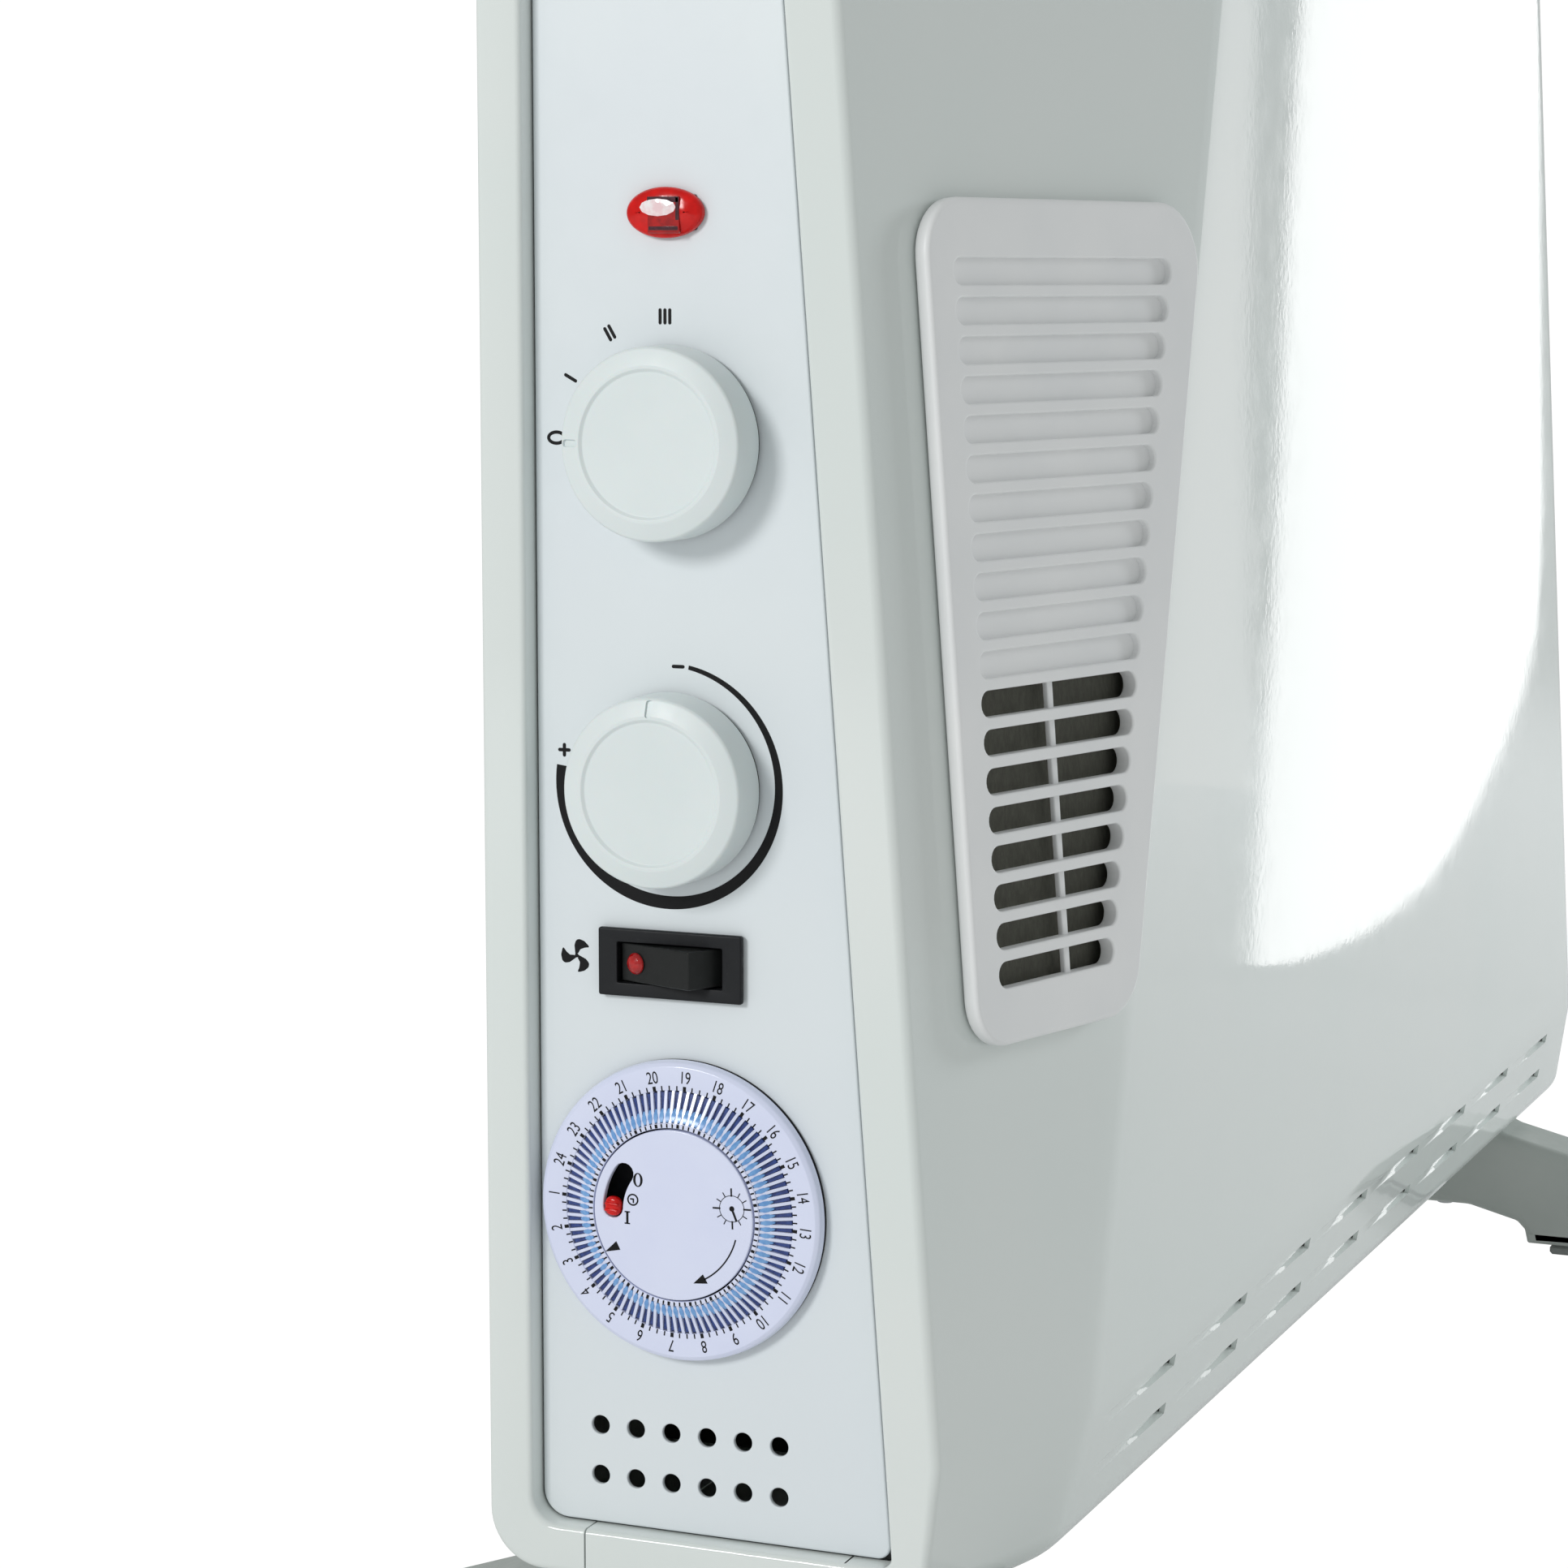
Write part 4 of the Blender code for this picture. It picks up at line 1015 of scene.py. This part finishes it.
def pilot_lamp_gem():
    """Twelve-sided cut-glass centre, coloured with a painted reflection of the studio light."""
    top = GAP + LENS_RISE
    gem = (LAMP[0] - 0.75, LAMP[1] + 1.0)
    bm = bmesh.new()
    rings = []
    for size, height, twist in ((1.0, top - 0.3, 0.0), (1.0, top + 0.03, 0.0), (0.55, top + 0.24, 0.5)):
        ring = [clock(30.0 * (i + twist), 1.0) for i in range(12)]
        rings.append([bm.verts.new(END @ Vector((gem[0] + 3.9 * size * x, gem[1] + 1.75 * size * y, height)))
                      for x, y in ring])
    point = bm.verts.new(END @ Vector((*gem, top + 0.34)))
    bridge(bm, rings + [[point] * 12])
    bm.faces.new(rings[0])
    piece("pilot_lamp_painted_glint", bm, GLINT_PAINT, "casing", angle=5)


pilot_lamp()
pilot_lamp_gem()


# ---- knobs ----
def knob(name, body, centre, pointer, replaces):
    """A round knob with a bevelled front, a raised ring, a flat disc and a small pointer notch."""
    top = -reach(replaces[0], "x")[0]
    base = GAP + 0.75
    profile = softened([
        (0, top - 0.6, 0), (14.2, top - 0.6, 0.4), (14.8, top - 0.05, 0.3), (15.5, top - 0.05, 0.4),
        (19.1, top - 1.2, 0.9), (19.15, top - 2.6, 0.5), (19.3, base + 0.4, 0.3), (19.1, base, 0.3),
        (16.8, base, 0.2), (16.8, base + 4.0, 0.2), (0, base + 4.0, 0)], 6)
    bm = bmesh.new()
    turned(bm, shifted(END, *centre), profile, 144)
    obj = piece(name, bm, KNOB, body, replaces, 50)
    bm = bmesh.new()
    tilt = shifted(END, *clock(pointer, 16.9, centre), top - 0.6, pointer)
    tilt = tilt @ Matrix.Rotation(math.radians(-18), 4, "X")
    notch = rounded(rectangle((0, 0), 1.5, 3.6), 0.6, 5)
    stamp(bm, tilt, notch, -0.45, 1.5)
    cut_out(obj, bm)
    return obj


def washer(name, centre):
    """A black ring under a knob, painted shade for the shadow gap between the knob and the panel."""
    bm = bmesh.new()
    section = [(18.8, 0.05), (18.8, 0.7), (12.0, 0.7), (12.0, 0.05)]
    turned(bm, shifted(END, *centre), section, 96, closed=True)
    piece(name, bm, BLACK, "casing", angle=50)


# black rings as painted shade under the two knobs
washer("selector_shade_ring", SELECTOR)
washer("thermostat_shade_ring", THERMOSTAT)
knob("selector_knob_body", "selector", SELECTOR, -90.0, ["selector_knob"])
knob("thermostat_knob_body", "thermostat", THERMOSTAT, 0.0, ["thermostat_knob"])

# ---- rocker switch ----
BEZEL_SIZE, BEZEL_TOP, WELL_SIZE, WELL_DEPTH = (31.6, 13.9), 1.9, (23.2, 8.4), 12.0
PIVOT_DEPTH = 2.5
# the paddle across its pin: (back, out of the panel)
ROCKER_SECTION = [(-11.0, 3.2), (-11.2, -1.0), (-8.6, -4.0), (8.6, -4.0), (11.1, -1.0), (10.9, 1.6),
                  (6.4, 9.2)]


def rocker():
    bm = bmesh.new()
    outline = rounded(rectangle(ROCKER, *BEZEL_SIZE), 0.5, 4)
    well = rounded(rectangle(ROCKER, *WELL_SIZE), 0.3, 3)
    soft_plate(bm, END, outline, GAP, BEZEL_TOP, 0.4, [well], 0.2)
    barrel = rounded(rectangle(ROCKER, 27.0, 12.0), 0.4, 3)
    soft_plate(bm, END, barrel, -19.0, GAP + 0.05, 0.2, [well], 0.0)
    soft_plate(bm, END, well, -15.0, -WELL_DEPTH, 0.0)
    piece("rocker_bezel", bm, BLACK, "casing", ["rocker_housing"], 50)
    # the paddle's section lies across its pin: local X = back, Y = out of the panel, Z = down
    side = axes(world(PIVOT_DEPTH, *ROCKER), BACK, OUT, -UP)
    bm = bmesh.new()
    section = rounded(list(ROCKER_SECTION), (0.5, 1.2, 1.5, 1.5, 1.2, 0.6, 0.45), 5)
    soft_plate(bm, side, section, -3.9, 3.9, 0.3)
    flat_shading(piece("rocker_paddle", bm, PADDLE_BLACK, "rocker", ["rocker_button"], 50))
    start, end = Vector(ROCKER_SECTION[0]), Vector(ROCKER_SECTION[-1])
    face = (end - start).normalized()
    middle = start + face * 4.0
    out = BACK * -face.y + OUT * face.x
    lamp = axes(side @ Vector((middle.x, middle.y, 0)), -UP, -UP.cross(out) * -1, out)
    bm = bmesh.new()
    dome = softened([(0, 1.15, 0), (0.8, 1.05, 0.2), (1.6, 0.75, 0.3), (2.1, 0.25, 0.3),
                     (2.2, -0.1, 0.1), (2.2, 0, 0), (0, 0, 0)])
    turned(bm, shifted(lamp, 0, 0, 0.25), dome, 48)
    piece("rocker_lamp", bm, DEEP_RED, "rocker", ["rocker_lens"], 50)


rocker()

# ---- timer ----
HOURS, TAPPETS = 24, 96
RIB_WIDTH = 0.62
HOUR_13 = 93.3                  # where 13 stands, degrees clockwise from straight up
# how far the numeral ring, the inner tick ring and the fixed disc stand off the panel
FACE_TOP, INNER_TOP, DISC_TOP = 3.6, 6.05, 6.3
LEVER_ORBIT = math.dist(spot("timer_mode_lever"), TIMER)
LEVER_REST = math.degrees(math.atan2(*(a - b for a, b in zip(spot("timer_mode_lever"), TIMER))))
LEVER_TRAVEL = 32.0
AT_TIMER = shifted(END, *TIMER)


def hour_angle(hour):
    return HOUR_13 - 15.0 * (hour - 13)


def timer_dial():
    """The turning ring: glossy outer edge, flat numeral ring, ribs between the tappets, inner tick ring."""
    profile = softened([
        (30.7, 0.7, 0), (17.85, 0.7, 0.2), (17.85, INNER_TOP, 0.15), (18.85, INNER_TOP, 0.2),
        (18.85, 2.0, 0), (25.1, 2.0, 0), (25.1, FACE_TOP, 0.15), (29.9, FACE_TOP, 0.5), (30.8, 3.0, 0.8),
        (31.1, 1.3, 0.4), (30.7, 0.7, 0)], 5)
    bm = bmesh.new()
    turned(bm, AT_TIMER, profile[:-1], 192, closed=True)
    for k in range(TAPPETS):
        place = shifted(AT_TIMER, 0, 0, 0, (k + 0.5) * 360.0 / TAPPETS + hour_angle(13))
        rib = [(18.7, 2.1), (25.2, 2.1), (25.2, 3.4), (18.7, 5.9)]
        points = [[bm.verts.new(place @ Vector((across, r, out))) for r, out in rib]
                  for across in (-RIB_WIDTH / 2, RIB_WIDTH / 2)]
        bridge(bm, points)
        for face in points:
            bm.faces.new(face)
    piece("timer_dial_ring", bm, DIAL, "dial", ["timer_dial"], 40)


def timer_rim():
    """A thin black ring under the dial, painted shade for the dark gap round its edge."""
    bm = bmesh.new()
    turned(bm, AT_TIMER, [(30.95, 0.05), (30.95, 0.45), (26.0, 0.45), (26.0, 0.05)], 128, closed=True)
    piece("timer_rim", bm, BLACK, "casing", angle=50)


def timer_printing():
    bm = bmesh.new()
    for hour in range(1, HOURS + 1):
        place = shifted(AT_TIMER, 0, 0, FACE_TOP + PRINT / 2, hour_angle(hour))
        letters(bm, shifted(place, 0, 27.75), str(hour), 2.5, 0.72, PRINT)
    for k in range(TAPPETS):
        on_hour = k % (TAPPETS // HOURS) == 0
        place = shifted(AT_TIMER, 0, 0, 0, hour_angle(13) + k * 360.0 / TAPPETS)
        outer_width, inner_width = (0.68, 0.58) if on_hour else (0.28, 0.32)
        stamp(bm, place, rectangle((0, 25.6), outer_width, 0.95), FACE_TOP, FACE_TOP + PRINT)
        stamp(bm, place, rectangle((0, 18.35), inner_width, 0.78), INNER_TOP, INNER_TOP + PRINT)
    piece("timer_numerals", bm, INK, "dial", weld=0)


def tappets():
    """Ninety-six levers: a dark blue bar sloping up to a tip in a lighter blue, a painted highlight where the
    raised tips catch the light.
    """
    bars, tips = bmesh.new(), bmesh.new()
    # sections of (half width, radius, out)
    bar = [(0.40, 24.75, 3.3), (0.34, 21.3, 4.1), (0.30, 19.3, 4.4)]
    tip = [(0.16, 21.6, 4.5), (0.44, 20.8, 5.1), (0.46, 20.0, 5.6), (0.22, 19.05, 5.8)]
    for k in range(TAPPETS):
        place = shifted(AT_TIMER, 0, 0, 0, hour_angle(13) + (k + 1) * 360.0 / TAPPETS)
        for bm, section, thick in ((bars, bar, 1.2), (tips, tip, 1.5)):
            edges = [[bm.verts.new(place @ Vector((side * w, r, out - drop))) for w, r, out in section]
                     for side, drop in ((-1, 0), (1, 0), (1, thick), (-1, thick))]
            bridge(bm, edges + edges[:1], closed=False)
            for end in (0, -1):
                bm.faces.new([edge[end] for edge in edges])
    piece("tappet_bars", bars, TAPPET_DARK, "dial", ["timer_tappets"], 30)
    piece("tappet_tips", tips, TAPPET_TIP_HIGHLIGHT, "dial", angle=30)


def capsule_arc(start, end, orbit, width, steps=16):
    """A curved slot with round ends, counter-clockwise; angles run clockwise from straight up."""
    half = width / 2
    angles = [start + (end - start) * k / steps for k in range(steps + 1)]
    found = [clock(a, orbit - half) for a in angles]
    centre = clock(end, orbit)
    for k in range(1, 8):
        found.append(clock(end + 180.0 - 180.0 * k / 8, half, centre))
    found += [clock(a, orbit + half) for a in reversed(angles)]
    centre = clock(start, orbit)
    for k in range(1, 8):
        found.append(clock(start - 180.0 * k / 8, half, centre))
    return found


def timer_disc():
    """The fixed centre with the lever's curved slot."""
    bm = bmesh.new()
    slot = capsule_arc(LEVER_REST - 1.0, LEVER_REST + LEVER_TRAVEL, LEVER_ORBIT, 4.3)
    soft_plate(bm, AT_TIMER, circle((0, 0), 17.5, 128), 4.7, DISC_TOP, 0.25, [slot], 0.3)
    flat_shading(piece("timer_disc", bm, DIAL, "casing", ["timer_centre_disc"], 60))


def lever_marks(ink):
    """O, a clock face and I beside the lever, and the marker that shows the time."""
    zero, face, one = (-7.7, 6.65), (-8.85, 2.45), (-10.1, -1.35)
    ink(oval(zero, 2.1, 2.9), [oval(zero, 1.05, 2.45)])
    ink(circle(face, 1.25), [circle(face, 0.93)])
    middle = (face[0] + 0.12, face[1] + 0.15)
    for across, rise in ((-0.62, 0.0), (0, -0.7)):
        ink(capsule(middle, (middle[0] + across, middle[1] + rise), 0.3, 4))
    for rise, size in ((0, (0.5, 2.6)), (1.2, (1.2, 0.26)), (-1.2, (1.2, 0.26))):
        ink(rectangle((one[0], one[1] + rise), *size))
    ink([(-15.1, -8.9), (-11.7, -8.2), (-12.6, -6.5)])


def sun_and_arrow(ink):
    """A small rayed dial, and the arrow for the way the disc turns."""
    sun = (13.0, 2.6)
    ink(circle(sun, 2.75), [circle(sun, 2.62)])
    for k in range(12):
        middle, length, width = (3.35, 1.7, 0.34) if k % 3 == 0 else (3.25, 1.0, 0.2)
        place = shifted(AT_TIMER, *sun, turn=30.0 * k - 2.0)
        ink(rectangle((0, middle), width, length), lift=PRINT_LIFT, place=place)
    ink(circle(sun, 0.55, 20))
    ink(capsule(sun, (sun[0] + 0.95, sun[1] - 2.3), 0.46, 4), lift=PRINT_LIFT)
    ink(arc_band((0, 0), 105.0, 151.0, 14.15, 14.45))
    ink(anticlockwise([clock(161.5, 14.3), clock(150.0, 15.35), clock(150.0, 13.25)]))


def timer_disc_marks():
    bm = bmesh.new()

    def ink(outline, holes=(), lift=0.0, place=AT_TIMER):
        stamp(bm, place, outline, DISC_TOP, DISC_TOP + PRINT + lift, holes)

    lever_marks(ink)
    sun_and_arrow(ink)
    piece("timer_disc_marks", bm, INK, "casing", weld=0)


def timer_lever():
    """A small domed red slider with two grip ridges."""
    bm = bmesh.new()
    place = shifted(AT_TIMER, *clock(LEVER_REST, LEVER_ORBIT), 0, LEVER_REST)
    top = -reach("timer_mode_lever", "x")[0]
    outline = rounded(rectangle((0, 0), 4.0, 3.5), 1.5, 8)
    soft_plate(bm, place, outline, 4.9, top - 0.5, 0.9, steps=6)
    for across in (-0.75, 0.55):
        ridge = capsule((across, -1.2), (across, 1.2), 0.6, 6)
        soft_plate(bm, place, ridge, top - 1.2, top - 0.15, 0.25, steps=4)
    piece("timer_lever_cap", bm, RED, "mode_lever", ["timer_mode_lever"], 50)


timer_dial()
timer_rim()
timer_printing()
tappets()
timer_disc()
timer_disc_marks()
timer_lever()

# ---- feet ----
FOOT_SIDE = [
    (104.0, -4.2), (126.0, -9.6), (150.0, -18.0), (162.0, -25.0), (165.0, -33.0), (163.0, FLOOR + 3.1),
    (111.0, FLOOR + 3.1), (110.0, -34.5), (107.5, -32.0), (92.0, -28.0),
]
FOOT_EDGE = 3.6
FOOT_MIDDLE = sum(reach("foot_1", "back")) / 2


def foot(number):
    node = f"foot_{number}"
    low, high = reach(node, "x")
    mirrored = [(2 * FOOT_MIDDLE - back, up) for back, up in FOOT_SIDE]
    outline = [(96.0, -GAP)] + FOOT_SIDE + mirrored[::-1] + [(2 * FOOT_MIDDLE - 96.0, -GAP)]
    radii = [3.0] + [8, 30, 14, 6, 5, 2, 1, 1.5, 3, 10]
    radii += radii[:0:-1] + [3.0]
    bm = bmesh.new()
    soft_plate(bm, END, anticlockwise(rounded(outline, radii, 8)), -high, -low, FOOT_EDGE, steps=6)
    flat_shading(piece(f"foot_arm_{number}", bm, FOOT, "casing", [node], 50))


foot(1)
foot(2)

# ---- carried-over nodes: their shape is right, and they get the finish of what they are ----
FINISHES = {
    BLACK: ["pilot_lamp_body", "selector_switch", "timer_body", "fan_impeller", "thermal_cutout",
            "terminal_block", "cord_gland"],
    # these parts are kept near-black as painted shade for the casing's inside
    WORKS_SHADE_STEEL: ["fan_bulkhead", "fan_bracket", "fan_motor", "heat_shield"],
    STEEL: ["selector_shaft", "thermostat_shaft", "thermostat_body", "fan_shaft",
            *[f"foot_screw_{n}" for n in range(1, 5)], *[f"rear_screw_{n}" for n in range(1, 7)]],
    ELEMENT: ["heating_element_1", "heating_element_2"],
    BOARD: ["element_bracket_1", "element_bracket_2"],
    RUBBER: [f"foot_pad_{n}" for n in range(1, 5)],
}
for finish, nodes in FINISHES.items():
    for node in nodes:
        obj = frame["nodes"][node]
        obj.data.materials.clear()
        obj.data.materials.append(finish)


# ---- camera, stage and lights ----
def look(azimuth, pitch):
    """The rotation that looks down by `pitch` degrees, along a bearing of `azimuth` degrees."""
    return (math.radians(90.0 - pitch), 0.0, math.radians(azimuth))


CAMERA_LENS, SENSOR = 89.24, 36.0
CAMERA_PLACE = (-704.3, 359.6, 266.3)       # x, back, up
CAMERA_AZIMUTH, CAMERA_PITCH = -67.28, 7.43
camera = bpy.data.objects.new("camera", bpy.data.cameras.new("camera"))
camera.data.lens = CAMERA_LENS
camera.data.sensor_width = SENSOR
camera.location = world(*CAMERA_PLACE)
camera.rotation_euler = look(CAMERA_AZIMUTH, CAMERA_PITCH)
bpy.context.scene.collection.objects.link(camera)
bpy.context.scene.camera = camera
bpy.context.scene.view_settings.view_transform = "Standard"


def stage_material(name, color, strength):
    """A plain matt surface with a white glow."""
    glow = {"Emission Color": (1, 1, 1, 1), "Emission Strength": strength}
    return Nodes(name, color, 0.9, **glow).material


def stage_mesh(name, bm, color, strength, unseen_by):
    """A piece of the studio, hidden from some kinds of ray."""
    mesh = bpy.data.meshes.new(name)
    bm.to_mesh(mesh)
    bm.free()
    mesh.materials.append(stage_material(name, color, strength))
    obj = bpy.data.objects.new(name, mesh)
    for ray in unseen_by:
        setattr(obj, f"visible_{ray}", False)
    bpy.context.scene.collection.objects.link(obj)


def floor():
    bm = bmesh.new()
    matrix = Matrix.Translation(world(300, 60, FLOOR))
    bmesh.ops.create_circle(bm, cap_ends=True, radius=6.0, segments=96, matrix=matrix)
    stage_mesh("floor", bm, (0.80, 0.80, 0.80), 0.12, ["camera"])


ONLY_REFLECTED = ("camera", "diffuse", "shadow", "transmission")


def reflected_panel(name, x, outline, strength):
    """A glowing upright panel past the far end; outline is in (back, up)."""
    side = axes(world(x, 0, 0), BACK, UP, OUT)
    bm = bmesh.new()
    bm.faces.new([bm.verts.new(side @ Vector((*point, 0))) for point in outline])
    stage_mesh(name, bm, (0, 0, 0), strength, ONLY_REFLECTED)


def reflected_softbox():
    """A tall white panel that shows only as a reflection in the glossy front."""
    right, left, low, high = 210.0, 338.0, -38.0, 440.0
    curve_rise, top_slant, steps = 208.0, 22.0, 12
    outline = [(left, low)]
    for k in range(1, steps + 1):
        angle = math.radians(90.0 * k / steps)
        back = left - (left - right) * math.sin(angle)
        outline.append((back, low + curve_rise * (1 - math.cos(angle))))
    outline += [(right, high), (left - top_slant, high)]
    reflected_panel("softbox", 950.0, outline, 2.3)


def reflected_wall():
    """The dim wall beside it, which lifts the front between its bend and the bright reflection."""
    outline = [(342.0, 40.0), (342.0, 440.0), (520.0, 440.0), (520.0, 40.0)]
    reflected_panel("wall", 960.0, outline, 1.1)


def soft_light(name, where, size, power, target=(0, 60, 150)):
    light = bpy.data.lights.new(name, "AREA")
    light.shape = "RECTANGLE"
    light.size, light.size_y = size
    light.energy = power
    obj = bpy.data.objects.new(name, light)
    obj.location = world(*where)
    obj.rotation_euler = (world(*target) - obj.location).to_track_quat("-Z", "Y").to_euler()
    bpy.context.scene.collection.objects.link(obj)
    return obj


floor()
reflected_softbox()
reflected_wall()
soft_light("key", (-1800, -650, 1000), (0.5, 0.5), 18.5)
fill = soft_light("fill_right", (1800, 1200, 700), (0.4, 0.5), 14.0)
fill.visible_glossy = False
fill.data.color = (0.94, 0.97, 1.0)


def backdrop():
    """Pure white to the camera, and dimmer as a source of light."""
    studio = bpy.data.worlds.new("studio")
    bpy.context.scene.world = studio
    studio.use_nodes = True
    tree = studio.node_tree
    seen = tree.nodes["Background"]
    ambient = tree.nodes.new("ShaderNodeBackground")
    Nodes.set(seen, {"Color": (1, 1, 1, 1), "Strength": 1.05})
    Nodes.set(ambient, {"Color": (0.97, 1.0, 0.99, 1), "Strength": 0.42})
    path = tree.nodes.new("ShaderNodeLightPath")
    mix = tree.nodes.new("ShaderNodeMixShader")
    tree.links.new(path.outputs["Is Camera Ray"], mix.inputs["Fac"])
    tree.links.new(ambient.outputs["Background"], mix.inputs[1])
    tree.links.new(seen.outputs["Background"], mix.inputs[2])
    tree.links.new(mix.outputs["Shader"], tree.nodes["World Output"].inputs["Surface"])


backdrop()
